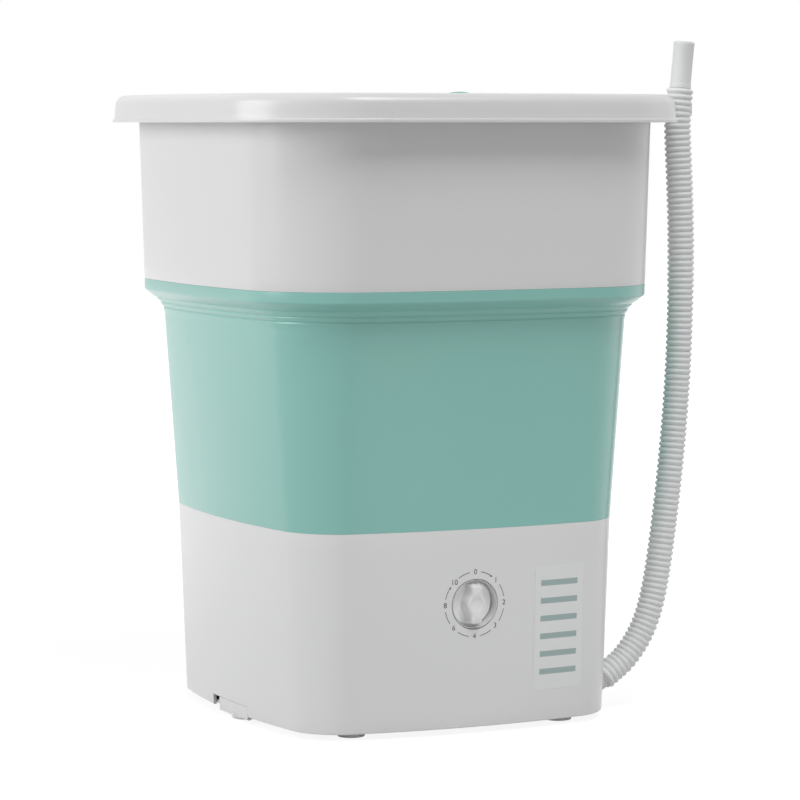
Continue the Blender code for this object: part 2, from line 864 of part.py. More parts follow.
def make_bottom_cover():
    half = base_half(COVER_LOW) - BASE_WALL - SEAT_GAP
    cover = loft("bottom_cover", [(half, COVER_LOW), (half, COVER_HIGH)], closed=False)
    low, high = COVER_LOW - CUT_OVERRUN, COVER_HIGH + CUT_OVERRUN
    screw_holes = rods("cover_screw_holes", pillar_places(), SCREW_RADIUS + SEAT_GAP, low, high, HOLE_STEPS)
    foot_holes = rods("cover_foot_holes", foot_places(), FOOT_STEM + 2 * SEAT_GAP, low, high, HOLE_STEPS)
    for holes in (screw_holes, foot_holes):
        cut(cover, helper(holes))
    vents = bmesh.new()
    for side in (1, -1):
        for slot in range(VENT_COUNT):
            y = side * VENT_PLACE_Y + (slot - (VENT_COUNT - 1) / 2) * VENT_PITCH
            size = Matrix.Diagonal((VENT_LENGTH, VENT_WIDTH, high - low, 1))
            middle = Matrix.Translation((0, y, (low + high) / 2))
            bmesh.ops.create_cube(vents, size=1, matrix=middle @ size)
    cut(cover, helper(object_of("cover_vents", vents)))
    place(cover, "white_matt")


def make_feet():
    top = COVER_LOW - SEAT_GAP
    stem_top = COVER_HIGH + FOOT_STEM_RISE
    for count, (x, y) in enumerate(foot_places(), 1):
        profile = [
            (0, stem_top),
            (FOOT_STEM * FOOT_TIP_SHARE, stem_top),
            (FOOT_STEM, COVER_HIGH + SEAT_GAP),
            (FOOT_STEM, top),
            (FOOT_RADIUS, top),
            (FOOT_RADIUS * FOOT_DRAFT_SHARE, 0),
            (0, 0),
        ]
        foot = turned(f"foot_{count}", profile, SMALL_TURN_STEPS)
        foot.location = (x, y, 0)
        place(foot, "foot_grey")


def make_bottom_screws():
    profile = screw_profile(SCREW_HEAD, SCREW_HEAD_RISE, SCREW_RADIUS, BOTTOM_SCREW_LENGTH)
    for count, (x, y) in enumerate(pillar_places(), 1):
        screw = turned(f"bottom_screw_{count}", profile, HOLE_STEPS)
        screw.location = (x, y, COVER_LOW - SEAT_GAP)
        place(screw, "steel")


def pan_outer_half():
    return BASE_TOP_HALF - max(BASE_WALL, BELLOWS_WALL) - SEAT_GAP


def make_tub_pan():
    """The wash pan: it hangs on the shell's ledge and stands up inside the bellows."""
    outer = min(pan_outer_half(), base_half(LEDGE_TOP) - BASE_WALL - SEAT_GAP)
    neck = base_half(LEDGE_TOP) - BASE_WALL - LEDGE_WIDTH - SEAT_GAP
    step = LEDGE_TOP + SEAT_GAP
    top = BASE_HIGH + PAN_RISE
    section = filleted(
        [
            (neck - PAN_WALL - PAN_BORDER, PAN_FLOOR, 0),
            (neck - PAN_WALL, PAN_FLOOR, PAN_ROUND),
            (neck - PAN_WALL, step + PAN_WALL, 0),
            (outer - PAN_WALL, step + PAN_WALL, 0),
            (outer - PAN_WALL, top, 0),
            (outer, top, 0),
            (outer, step, 0),
            (neck, step, 0),
            (neck, PAN_FLOOR - PAN_WALL, PAN_ROUND + PAN_WALL),
            (neck - PAN_WALL - PAN_BORDER, PAN_FLOOR - PAN_WALL, 0),
        ],
        closed=False,
        arc_steps=2,
    )
    pan = loft("tub_pan", section, closed=False)
    floor_low = PAN_FLOOR - PAN_WALL
    posts = rods(
        "pan_posts",
        plate_screw_places(),
        POST_RADIUS,
        PLATE_HIGH + SEAT_GAP,
        floor_low + PAN_WALL / 2,
    )
    join(pan, helper(posts))
    low, high = floor_low - CUT_OVERRUN, PAN_FLOOR + CUT_OVERRUN
    cut(pan, helper(rods("hub_hole", [(0, 0)], HOUSING_RADIUS + SEAT_GAP, low, high, TURN_STEPS)))
    sump = rods("sump_hole", [(SUMP_X, HOSE_Y)], SUMP_RADIUS + SEAT_GAP, low, high, TURN_STEPS)
    cut(pan, helper(sump))
    bores = rods(
        "post_bores",
        plate_screw_places(),
        SCREW_RADIUS + SEAT_GAP,
        PLATE_HIGH - CUT_OVERRUN,
        PLATE_HIGH + PLATE_SCREW_LENGTH,
        HOLE_STEPS,
    )
    cut(pan, helper(bores))
    place(pan, "white_gloss")


def bellows_line():
    """The bellows' outer line above its leaning wall: the cove's points, and where its band starts."""
    slope = math.atan2(RAMP_DOWN, RAMP_IN)
    band_low = HOOP_LOW - BAND_RISE
    ramp_half = HOOP_FOOT_HALF - RAMP_IN
    ramp_low = band_low - RAMP_DOWN
    centre_half = ramp_half + COVE_RADIUS * math.sin(slope)
    centre_height = ramp_low - COVE_RADIUS * math.cos(slope)
    cove = []
    for step in range(COVE_STEPS + 1):
        angle = math.pi / 2 + slope + (math.pi / 2 - slope) * (1 - step / COVE_STEPS)
        across = COVE_RADIUS * math.cos(angle)
        cove.append((centre_half + across, centre_height + COVE_RADIUS * math.sin(angle)))
    return cove, band_low


def make_bellows():
    cove, band_low = bellows_line()
    low = BASE_HIGH + SEAT_GAP
    shoulder = HOOP_LOW - SEAT_GAP
    tuck_half = HOOP_FOOT_HALF - HOOP_WALL - SEAT_GAP
    tuck_top = HOOP_LOW + BELLOWS_TUCK
    line = [(BASE_TOP_HALF, low)] + cove + [(HOOP_FOOT_HALF, band_low)]
    inner = wall_inside(line, BELLOWS_WALL)
    outer = filleted([(half, height, 0) for half, height in line[:-1]] + [
        (HOOP_FOOT_HALF, band_low, BAND_ROUND),
        (HOOP_FOOT_HALF, shoulder, 0),
        (tuck_half, shoulder, 0),
        (tuck_half, tuck_top, 0),
    ], closed=False)
    tuck_inner = tuck_half - BELLOWS_WALL
    inside = [(tuck_inner, tuck_top), (tuck_inner, band_low)] + inner[-2::-1]
    place(loft("bellows", outer + inside), "teal_soft")


def make_hoop():
    top = RIM_HIGH - RIM_WALL - SEAT_GAP
    section = [
        (HOOP_FOOT_HALF, HOOP_LOW),
        (hoop_half(top), top),
        (hoop_half(top) - HOOP_WALL, top),
        (HOOP_FOOT_HALF - HOOP_WALL, HOOP_LOW),
    ]
    return place(loft("hoop", section), "white_gloss")


def make_clamp_ring():
    """An L section that holds the bellows' tuck against the hoop."""
    outer = HOOP_FOOT_HALF - HOOP_WALL - BELLOWS_WALL - 2 * SEAT_GAP
    cap_low = HOOP_LOW + BELLOWS_TUCK + SEAT_GAP
    cap_high = cap_low + CLAMP_CAP
    section = [
        (outer, HOOP_LOW - CLAMP_DROP),
        (outer, cap_low),
        (hoop_half(cap_low) - HOOP_WALL - SEAT_GAP, cap_low),
        (hoop_half(cap_low) - HOOP_WALL - SEAT_GAP, cap_high),
        (outer - CLAMP_WALL, cap_high),
        (outer - CLAMP_WALL, HOOP_LOW - CLAMP_DROP),
    ]
    return place(loft("clamp_ring", section), "white_matt")


def rim_leg_half():
    """Outer half width of the rim's inner leg, which drops inside the hoop."""
    return hoop_half(RIM_HIGH - LID_SINK) - HOOP_WALL - SEAT_GAP


def rim_mouth_half():
    return rim_leg_half() - RIM_WALL


def make_rim():
    mouth = rim_mouth_half()
    ledge = RIM_HIGH - LID_SINK
    under = RIM_HIGH - RIM_WALL
    bead_high = RIM_LOW + RIM_BEAD_RISE
    section = filleted(
        [
            (RIM_HALF, RIM_LOW, 0),
            (RIM_HALF, bead_high, 0),
            (RIM_HALF - RIM_BEAD_STEP, bead_high + RIM_BEAD_STEP, 0),
            (RIM_HALF - RIM_FLARE, RIM_HIGH, RIM_ROUND),
            (mouth, RIM_HIGH, RIM_WALL / 2),
            (mouth, ledge, 0),
            (mouth - LEDGE_LIP, ledge, 0),
            (mouth - LEDGE_LIP, ledge - RIM_WALL, 0),
            (mouth + RIM_WALL, ledge - RIM_WALL, 0),
            (mouth + RIM_WALL, under, 0),
            (RIM_HALF - RIM_FLARE - RIM_WALL, under, RIM_ROUND - RIM_WALL),
            (RIM_HALF - RIM_BEAD_STEP - RIM_WALL, RIM_LOW, 0),
        ]
    )
    return place(loft("rim", section), "white_gloss")


def hinge_line():
    """(y, z) of the lid's hinge axis: over the straight back edge of the ledge's plan."""
    y = half_depth(rim_mouth_half() - LEDGE_LIP)
    return y, RIM_HIGH - LID_SINK + SEAT_GAP + HINGE_KNUCKLE


def knuckle_spans():
    return [
        (side * HINGE_PLACE - KNUCKLE_LENGTH / 2, side * HINGE_PLACE + KNUCKLE_LENGTH / 2)
        for side in (1, -1)
    ]


def lying_rod(name, low, high, y, z, radius, steps=SMALL_TURN_STEPS):
    """A round rod along X between two places."""
    rod = rods(name, [(0, 0)], radius, low, high, steps)
    rod.data.transform(Matrix.Rotation(math.pi / 2, 4, "Y"))
    rod.location = (0, y, z)
    return rod


def make_lid():
    half = rim_mouth_half() - LID_GAP
    low = RIM_HIGH - LID_SINK + SEAT_GAP
    high = low + LID_WALL
    field = half - LID_BORDER
    section = filleted(
        [
            (field - LID_WALL, low + LID_FIELD_RISE, 0),
            (field, low, 0),
            (half, low, 0),
            (half, high, LID_WALL / 2),
            (field + LID_WALL, high, 0),
            (field, high + LID_FIELD_RISE, 0),
        ],
        closed=False,
    )
    lid = loft("lid", section, closed=False)
    y, z = hinge_line()
    reach = RIM_HALF + SIDE_BOW
    back = box(
        "lid_back_cutter",
        (-reach, y - HINGE_TONGUE - 2 * RUN_GAP, low - CUT_OVERRUN),
        (reach, RIM_HALF + DEPTH_EXTRA + SIDE_BOW, high + CUT_OVERRUN),
    )
    cut(lid, helper(back))
    for side in (1, -1):
        edges = sorted((side * half * LID_CORNER_SHARE, side * reach))
        corner = box(
            "lid_corner_cutter",
            (edges[0], y - 2 * HINGE_KNUCKLE, low - CUT_OVERRUN),
            (edges[1], y, high + CUT_OVERRUN),
        )
        cut(lid, helper(corner))
    for start, end in knuckle_spans():
        arm = box(
            "knuckle_arm",
            (start + HINGE_PIN, y - 2 * HINGE_KNUCKLE, low + LID_WALL / 4),
            (end - HINGE_PIN, y, z + HINGE_KNUCKLE * ARM_TOP_SHARE),
        )
        knuckle = lying_rod("knuckle", start, end, y, z, HINGE_KNUCKLE)
        join(helper(arm), helper(knuckle))
        join(lid, arm)
        ends = start - CUT_OVERRUN, end + CUT_OVERRUN
        bore = lying_rod("knuckle_bore", *ends, y, z, HINGE_PIN + SEAT_GAP, HOLE_STEPS)
        cut(lid, helper(bore))

    dish_floor = low + LID_FIELD_RISE - DISH_DEPTH
    outer = rods(
        "dish_outside",
        [(0, PULL_PLACE_Y)],
        DISH_RADIUS + LID_WALL,
        dish_floor - LID_WALL,
        low + LID_WALL,
        TURN_STEPS,
    )
    join(lid, helper(outer))
    dish_top = high + DISH_DEPTH
    hollow = rods("dish_inside", [(0, PULL_PLACE_Y)], DISH_RADIUS, dish_floor, dish_top, TURN_STEPS)
    cut(lid, helper(hollow))
    return place(lid, "white_gloss")


def make_lid_pull():
    """A low arch over the finger dish."""
    foot = RIM_HIGH - LID_SINK + 2 * SEAT_GAP + LID_WALL + LID_FIELD_RISE
    points = [(-PULL_HALF, PULL_PLACE_Y, foot)]
    for step in range(PULL_STEPS + 1):
        angle = math.pi * (1 - step / PULL_STEPS)
        height = foot + PULL_TUBE + (PULL_RISE - 2 * PULL_TUBE) * math.sin(angle)
        points.append((PULL_HALF * math.cos(angle), PULL_PLACE_Y, height))
    points.append((PULL_HALF, PULL_PLACE_Y, foot))
    return place(tube("lid_pull", points, PULL_TUBE), "teal_gloss")


def make_hinge_strip():
    """The fixed strip behind the lid, with ears beside each knuckle."""
    y, z = hinge_line()
    low = RIM_HIGH - LID_SINK + SEAT_GAP
    high = low + LID_WALL
    half = rim_mouth_half() - SEAT_GAP
    strip = loft("hinge_strip", [(half, low), (half, high)], closed=False)
    window = box(
        "strip_window",
        (-half, y - HINGE_TONGUE, low - CUT_OVERRUN),
        (half, RIM_HALF + DEPTH_EXTRA + SIDE_BOW, z + HINGE_KNUCKLE + CUT_OVERRUN),
    )
    keep_inside(strip, helper(window))
    for start, end in knuckle_spans():
        for low_x in (start - RUN_GAP - EAR_WIDTH, end + RUN_GAP):
            ear = box(
                "hinge_ear",
                (low_x, y - HINGE_KNUCKLE * EAR_FRONT_SHARE, low + LID_WALL / 2),
                (low_x + EAR_WIDTH, y + HINGE_KNUCKLE, z + HINGE_KNUCKLE * EAR_TOP_SHARE),
            )
            join(strip, helper(ear))
        pocket = box(
            "knuckle_pocket",
            (start - RUN_GAP, y - HINGE_TONGUE - CUT_OVERRUN, low - CUT_OVERRUN),
            (end + RUN_GAP, y + HINGE_KNUCKLE + RUN_GAP, z + HINGE_KNUCKLE + CUT_OVERRUN),
        )
        cut(strip, helper(pocket))
        reach = RUN_GAP + EAR_WIDTH + CUT_OVERRUN
        bore = lying_rod("ear_bore", start - reach, end + reach, y, z, HINGE_PIN + SEAT_GAP, HOLE_STEPS)
        cut(strip, helper(bore))
    return place(strip, "white_gloss")


def make_hinge_pins():
    y, z = hinge_line()
    reach = RUN_GAP + EAR_WIDTH
    pins = []
    for count, (start, end) in enumerate(knuckle_spans(), 1):
        pin = lying_rod(f"hinge_pin_{count}", start - reach, end + reach, y, z, HINGE_PIN, HOLE_STEPS)
        pins.append(place(pin, "steel"))
    return pins


def pulsator_base():
    return PAN_FLOOR + PULSATOR_LIFT


def make_pulsator():
    base = pulsator_base()
    edge = base + PULSATOR_EDGE
    crown = base + PULSATOR_DOME
    bore = SHAFT_NECK + SEAT_GAP
    middle_share, middle_rise_share = DOME_MIDDLE_SHARES
    low_share, low_rise_share = DOME_LOW_SHARES
    middle = edge + (crown - edge) * middle_rise_share
    profile = [
        (bore, crown),
        (PULSATOR_HUB, crown),
        (PULSATOR_RADIUS * middle_share, middle),
        (PULSATOR_RADIUS * low_share, edge + (crown - edge) * low_rise_share),
        (PULSATOR_RADIUS, edge),
        (PULSATOR_RADIUS, base),
        (PULSATOR_RADIUS - PULSATOR_WALL, base),
        (PULSATOR_RADIUS - PULSATOR_WALL, edge - PULSATOR_WALL / 2),
        (PULSATOR_RADIUS * middle_share, middle - PULSATOR_WALL),
        (PULSATOR_HUB, crown - PULSATOR_WALL * CROWN_WALL_SHARE),
        (PULSATOR_HUB, base),
        (bore, base),
    ]
    pulsator = turned("pulsator", profile, PULSATOR_STEPS, closed=True)
    pulsator.rotation_euler.z = math.pi / PULSATOR_STEPS
    vane_floor = edge + (crown - edge) * VANE_SINK_SHARE
    for count in range(VANE_COUNT):
        turn = 2 * math.pi * count / VANE_COUNT
        shape = bmesh.new()
        bmesh.ops.create_uvsphere(shape, u_segments=VANE_SEGMENTS, v_segments=VANE_RINGS, radius=1)
        bmesh.ops.scale(shape, vec=(VANE_LENGTH, VANE_WIDTH, VANE_RISE), verts=shape.verts)
        bmesh.ops.rotate(shape, matrix=Matrix.Rotation(VANE_TURN, 3, "Z"), verts=shape.verts)
        bmesh.ops.translate(shape, vec=(VANE_PLACE, 0, vane_floor), verts=shape.verts)
        bmesh.ops.rotate(shape, matrix=Matrix.Rotation(turn, 3, "Z"), verts=shape.verts)
        vane = helper(object_of("vane", shape))
        join(pulsator, vane)
    return place(pulsator, "teal_gloss")


def make_pulsator_screw():
    crown = pulsator_base() + PULSATOR_DOME
    profile = [
        (0, CAP_SCREW_RISE),
        (CAP_SCREW_HEAD * CAP_TOP_SHARE, CAP_SCREW_RISE),
        (CAP_SCREW_HEAD, CAP_SCREW_RISE * CAP_SIDE_SHARE),
        (CAP_SCREW_HEAD, 0),
        (CAP_SCREW_RADIUS, 0),
        (CAP_SCREW_RADIUS, -CAP_SCREW_LENGTH),
        (0, -CAP_SCREW_LENGTH),
    ]
    screw = turned("pulsator_screw", profile, SMALL_TURN_STEPS)
    screw.location = (0, 0, crown + SEAT_GAP)
    return place(screw, "steel")


def make_pulsator_shaft():
    base = pulsator_base()
    top = base + PULSATOR_DOME - SEAT_GAP
    hole_floor = top - CAP_SCREW_LENGTH - SEAT_GAP
    hole = CAP_SCREW_RADIUS + SEAT_GAP
    profile = [
        (0, hole_floor),
        (hole, hole_floor),
        (hole, top),
        (SHAFT_NECK, top),
        (SHAFT_NECK, base - SEAT_GAP),
        (SHAFT_RADIUS, base - SEAT_GAP),
        (SHAFT_RADIUS, SHAFT_LOW),
        (0, SHAFT_LOW),
    ]
    return place(turned("pulsator_shaft", profile, SMALL_TURN_STEPS), "steel")


def make_bearing_housing():
    """A flanged tube: the flange stands on the drive plate and the neck fills the pan's hub hole."""
    bore = SHAFT_RADIUS + RUN_GAP
    flange_low = PLATE_HIGH + SEAT_GAP
    top = PAN_FLOOR
    seat = top - SEAL_RISE - SEAT_GAP
    profile = [
        (SEAL_RADIUS + SEAT_GAP, top),
        (HOUSING_RADIUS, top),
        (HOUSING_RADIUS, flange_low + FLANGE_THICK),
        (HOUSING_FLANGE, flange_low + FLANGE_THICK),
        (HOUSING_FLANGE, flange_low),
        (HOUSING_RADIUS, flange_low),
        (HOUSING_RADIUS, PLATE_LOW - HOUSING_TAIL),
        (bore, PLATE_LOW - HOUSING_TAIL),
        (bore, seat),
        (SEAL_RADIUS + SEAT_GAP, seat),
    ]
    place(turned("bearing_housing", profile, TURN_STEPS, closed=True), "inner_grey")
    ring = [
        (SHAFT_RADIUS + RUN_GAP, PAN_FLOOR),
        (SEAL_RADIUS, PAN_FLOOR),
        (SEAL_RADIUS, PAN_FLOOR - SEAL_RISE),
        (SHAFT_RADIUS + RUN_GAP, PAN_FLOOR - SEAL_RISE),
    ]
    place(turned("shaft_seal", ring, SMALL_TURN_STEPS, closed=True), "rubber")


def make_drive_plate():
    """A flat steel plate under the pan that carries the bearing and the motor."""
    corner = (PLATE_HALF, PLATE_BACK_Y, PLATE_HIGH)
    plate = box("drive_plate", (-PLATE_HALF, PLATE_FRONT_Y, PLATE_LOW), corner)
    shape = bmesh.new()
    shape.from_mesh(plate.data)
    upright = [e for e in shape.edges if abs(e.verts[0].co.z - e.verts[1].co.z) > PLATE_THICK / 2]
    bmesh.ops.bevel(shape, geom=upright, offset=PLATE_ROUND, segments=PLATE_ROUND_STEPS, affect="EDGES")
    shape.to_mesh(plate.data)
    shape.free()
    low, high = PLATE_LOW - CUT_OVERRUN, PLATE_HIGH + CUT_OVERRUN
    cut(plate, helper(rods("housing_hole", [(0, 0)], HOUSING_RADIUS + SEAT_GAP, low, high, TURN_STEPS)))
    boss = rods("motor_boss_hole", [(0, MOTOR_Y)], MOTOR_BOSS + SEAT_GAP, low, high, TURN_STEPS)
    cut(plate, helper(boss))
    small_holes = plate_screw_places() + motor_bolt_places()
    cut(plate, helper(rods("plate_holes", small_holes, SCREW_RADIUS + SEAT_GAP, low, high, HOLE_STEPS)))
    place(plate, "steel")
    profile = screw_profile(SCREW_HEAD, SCREW_HEAD_RISE, SCREW_RADIUS, PLATE_SCREW_LENGTH)
    for count, (x, y) in enumerate(plate_screw_places(), 1):
        screw = turned(f"plate_screw_{count}", profile, HOLE_STEPS)
        screw.location = (x, y, PLATE_LOW - SEAT_GAP)
        place(screw, "steel")


def make_motor():
    """The motor hangs under the plate on four bolts, with its shaft down."""
    top = PLATE_LOW - SEAT_GAP
    low = MOTOR_LOW
    bore = MOTOR_SHAFT + RUN_GAP
    waist = MOTOR_RADIUS - MOTOR_STEP
    profile = [
        (0, PLATE_HIGH),
        (MOTOR_BOSS, PLATE_HIGH),
        (MOTOR_BOSS, top),
        (MOTOR_RADIUS, top),
        (MOTOR_RADIUS, top - MOTOR_BELL),
        (waist, top - MOTOR_BELL),
        (waist, low + MOTOR_BELL),
        (MOTOR_RADIUS, low + MOTOR_BELL),
        (MOTOR_RADIUS - MOTOR_STEP, low),
        (bore, low),
        (bore, low + MOTOR_SHAFT_IN),
        (0, low + MOTOR_SHAFT_IN),
    ]
    motor = turned("motor", profile, TURN_STEPS)
    motor.location = (0, MOTOR_Y, 0)
    motor.rotation_euler.z = math.pi / TURN_STEPS / 2
    bolt_bores = rods(
        "motor_bores",
        motor_bolt_places(),
        SCREW_RADIUS + SEAT_GAP,
        top - MOTOR_BOLT_LENGTH,
        top + CUT_OVERRUN,
        HOLE_STEPS,
    )
    cut(motor, helper(bolt_bores))
    place(motor, "motor_grey")
    shaft_low = PULLEY_LOW - SEAT_GAP
    shaft = rods("motor_shaft", [(0, 0)], MOTOR_SHAFT, shaft_low, low + MOTOR_SHAFT_IN - SEAT_GAP)
    shaft.location = (0, MOTOR_Y, 0)
    place(shaft, "steel")
    profile = screw_profile(SCREW_HEAD, SCREW_HEAD_RISE, SCREW_RADIUS, MOTOR_BOLT_LENGTH)
    for count, (x, y) in enumerate(motor_bolt_places(), 1):
        bolt = turned(f"motor_bolt_{count}", profile, HOLE_STEPS)
        bolt.location = (x, y, PLATE_HIGH + SEAT_GAP)
        bolt.rotation_euler = (math.pi, 0, 0)
        place(bolt, "steel")


def groove_profile(radius):
    """The grooved outer side of a pulley, from its top edge to its bottom edge."""
    high = PULLEY_LOW + PULLEY_WIDTH
    middle = PULLEY_LOW + PULLEY_WIDTH / 2
    half = BELT_WIDTH / 2 + SEAT_GAP
    return [
        (radius, high),
        (radius, middle + half),
        (radius - GROOVE_DEPTH, middle + half),
        (radius - GROOVE_DEPTH, middle - half),
        (radius, middle - half),
        (radius, PULLEY_LOW),
    ]


def make_pulleys():
    bore = SHAFT_RADIUS + SEAT_GAP
    high = PULLEY_LOW + PULLEY_WIDTH
    inner = PULLEY_RADIUS - GROOVE_DEPTH - PULLEY_RIM / 2
    web_low = PULLEY_LOW + (PULLEY_WIDTH - PULLEY_WEB) / 2
    profile = [(inner, high)] + groove_profile(PULLEY_RADIUS) + [
        (inner, PULLEY_LOW),
        (inner, web_low),
        (PULLEY_HUB, web_low),
        (PULLEY_HUB, PULLEY_LOW),
        (bore, PULLEY_LOW),
        (bore, high),
        (PULLEY_HUB, high),
        (PULLEY_HUB, web_low + PULLEY_WEB),
        (inner, web_low + PULLEY_WEB),
    ]
    driven = turned("driven_pulley", profile, PULLEY_STEPS, closed=True)
    driven.rotation_euler.z = math.pi / PULLEY_STEPS / 2
    ring = (inner + PULLEY_HUB) / 2
    holes = [
        (ring * math.cos(2 * math.pi * k / PULLEY_HOLES), ring * math.sin(2 * math.pi * k / PULLEY_HOLES))
        for k in range(PULLEY_HOLES)
    ]
    cut(driven, helper(rods("pulley_holes", holes, PULLEY_HOLE_RADIUS, PULLEY_LOW, high, SMALL_TURN_STEPS)))
    place(driven, "inner_grey")
    nut_high = PULLEY_LOW - SEAT_GAP
    hexagon = arc(0, 0, NUT_RADIUS, 0, 2 * math.pi * 5 / 6, 5)
    hole = arc(0, 0, SHAFT_RADIUS + RUN_GAP, 0, 2 * math.pi * (1 - 1 / TURN_STEPS), TURN_STEPS - 1)
    place(flat_plate("pulley_nut", [hexagon, hole], nut_high - NUT_RISE, nut_high), "steel")
    small_bore = MOTOR_SHAFT + SEAT_GAP
    small = turned(
        "motor_pulley",
        [(small_bore, high)] + groove_profile(MOTOR_PULLEY_RADIUS) + [(small_bore, PULLEY_LOW)],
        MOTOR_PULLEY_STEPS,
        closed=True,
    )
    small.location = (0, MOTOR_Y, 0)
    place(small, "inner_grey")


def belt_loop(big, small):
    """The outline of a belt that wraps both pulleys at these radii."""
    lean = math.asin((big - small) / MOTOR_Y)
    far_side = arc(0, MOTOR_Y, small, lean, math.pi - lean, BELT_ARC_STEPS)
    near_side = arc(0, 0, big, math.pi - lean, 2 * math.pi + lean, BELT_ARC_STEPS * 2)
    return far_side + near_side


def make_belt():
    middle = PULLEY_LOW + PULLEY_WIDTH / 2
    inner_big = PULLEY_RADIUS - GROOVE_DEPTH + SEAT_GAP
    inner_small = MOTOR_PULLEY_RADIUS - GROOVE_DEPTH + SEAT_GAP
    loops = [
        belt_loop(inner_big + BELT_THICK, inner_small + BELT_THICK),
        belt_loop(inner_big, inner_small),
    ]
    belt = flat_plate("drive_belt", loops, middle - BELT_WIDTH / 2, middle + BELT_WIDTH / 2)
    place(belt, "rubber")


def make_capacitor():
    low = COVER_HIGH + SEAT_GAP
    bore = CAPACITOR_RADIUS + SEAT_GAP
    outside = bore + CUP_WALL
    # The cup's line starts on the axis inside it and ends on the axis under it
    cup = turned(
        "capacitor_cup",
        [
            (0, low + CUP_WALL),
            (bore, low + CUP_WALL),
            (bore, low + CUP_RISE),
            (outside, low + CUP_RISE),
            (outside, low),
            (0, low),
        ],
        SMALL_TURN_STEPS,
    )
    base = low + CUP_WALL + SEAT_GAP
    body = turned(
        "capacitor",
        [
            (0, base + CAPACITOR_RISE),
            (CAPACITOR_RADIUS * CAPACITOR_TOP_SHARE, base + CAPACITOR_RISE),
            (CAPACITOR_RADIUS, base + CAPACITOR_RISE * CAPACITOR_SIDE_SHARE),
            (CAPACITOR_RADIUS, base),
            (0, base),
        ],
        SMALL_TURN_STEPS,
    )
    for piece, finish in ((cup, "inner_grey"), (body, "white_matt")):
        piece.location = (CAPACITOR_X, CAPACITOR_Y, 0)
        place(piece, finish)


def make_dial(knob_axis):
    """The cup in the front wall, the timer behind it, its shaft and the knob, square to that wall."""
    floor = -WELL_DEPTH
    back = floor - WELL_WALL
    hole = TIMER_SHAFT + RUN_GAP
    inner = WELL_RADIUS - WELL_WALL
    cup = turned(
        "dial_cup",
        [
            (inner, 0),
            (WELL_RADIUS, 0),
            (WELL_RADIUS, back),
            (hole, back),
            (hole, floor),
            (inner, floor),
        ],
        TURN_STEPS,
        closed=True,
    )
    at_wall = Matrix.Translation(dial_point()) @ dial_turn().to_4x4()
    cup.matrix_world = at_wall
    place(cup, "white_gloss")

    timer_front = back - SEAT_GAP
    timer = box(
        "timer",
        (-TIMER_HALF, -TIMER_HALF, timer_front - TIMER_DEPTH),
        (TIMER_HALF, TIMER_HALF, timer_front),
    )
    bevel = timer.modifiers.new("Rounded", "BEVEL")
    bevel.width = TIMER_ROUND
    bevel.segments = 1
    bore_floor = timer_front - TIMER_SHAFT_IN
    timer_bore = rods("timer_bore", [(0, 0)], hole, bore_floor, timer_front + CUT_OVERRUN)
    timer_bore.matrix_world = at_wall
    cut(timer, helper(timer_bore))
    timer.matrix_world = at_wall @ Matrix.Translation(timer.location)
    place(timer, "inner_grey")

    knob_floor = floor + SEAT_GAP
    socket_top = KNOB_PROUD - 2 * DIMPLE_DEPTH - KNOB_SKIRT
    shaft = rods("timer_shaft", [(0, 0)], TIMER_SHAFT, bore_floor + SEAT_GAP, socket_top)
    shaft.matrix_world = at_wall
    place(shaft, "steel")

    skirt_high = knob_floor + KNOB_SKIRT
    knob = turned(
        "timer_knob",
        [
            (0, skirt_high + KNOB_SKIRT / 2),
            (KNOB_RADIUS - KNOB_SKIRT, skirt_high + KNOB_SKIRT / 2),
            (KNOB_RADIUS, skirt_high),
            (KNOB_RADIUS, knob_floor),
            (0, knob_floor),
        ],
        TURN_STEPS,
    )
    corner = GRIP_THICK / 2, GRIP_HALF
    grip = box("knob_grip", (-corner[0], -corner[1], skirt_high), (*corner, KNOB_PROUD))
    for vertex in grip.data.vertices:
        if vertex.co.z > 0:
            vertex.co.x *= GRIP_DRAFT_SHARE
            vertex.co.y *= GRIP_DRAFT_SHARE
    hub_high = KNOB_PROUD + DIMPLE_DEPTH / 2
    hub = stub("knob_hub", GRIP_HUB, GRIP_HUB * GRIP_DRAFT_SHARE, skirt_high, hub_high)
    dimple = rods(
        "knob_dimple",
        [(0, 0)],
        DIMPLE_RADIUS,
        KNOB_PROUD - DIMPLE_DEPTH / 2,
        KNOB_PROUD + WELL_DEPTH,
        TURN_STEPS,
    )
    socket = rods(
        "knob_socket",
        [(0, 0)],
        TIMER_SHAFT + SEAT_GAP,
        knob_floor - CUT_OVERRUN,
        socket_top + SEAT_GAP,
    )
    grip_at = grip.location.copy()
    half_step = Matrix.Rotation(math.pi / TURN_STEPS, 4, "Z")
    for piece in (hub, dimple, socket):
        piece.matrix_world = at_wall @ half_step
    grip.matrix_world = at_wall @ Matrix.Translation(grip_at)
    join(knob, helper(grip))
    join(knob, helper(hub))
    cut(knob, helper(dimple))
    cut(knob, helper(socket))
    knob.matrix_world = at_wall
    place(knob, "white_gloss")
    bpy.context.view_layer.update()
    hang(shaft, knob_axis)
    hang(knob, knob_axis)


def bent(points_in, centre, radius, start, end, steps, points_out):
    """A route in the XZ plane at HOSE_Y: straight points, a bend, and straight points."""
    bend = arc(centre[0], centre[1], radius, start, end, steps)
    return [(x, HOSE_Y, z) for x, z in points_in + bend + points_out]


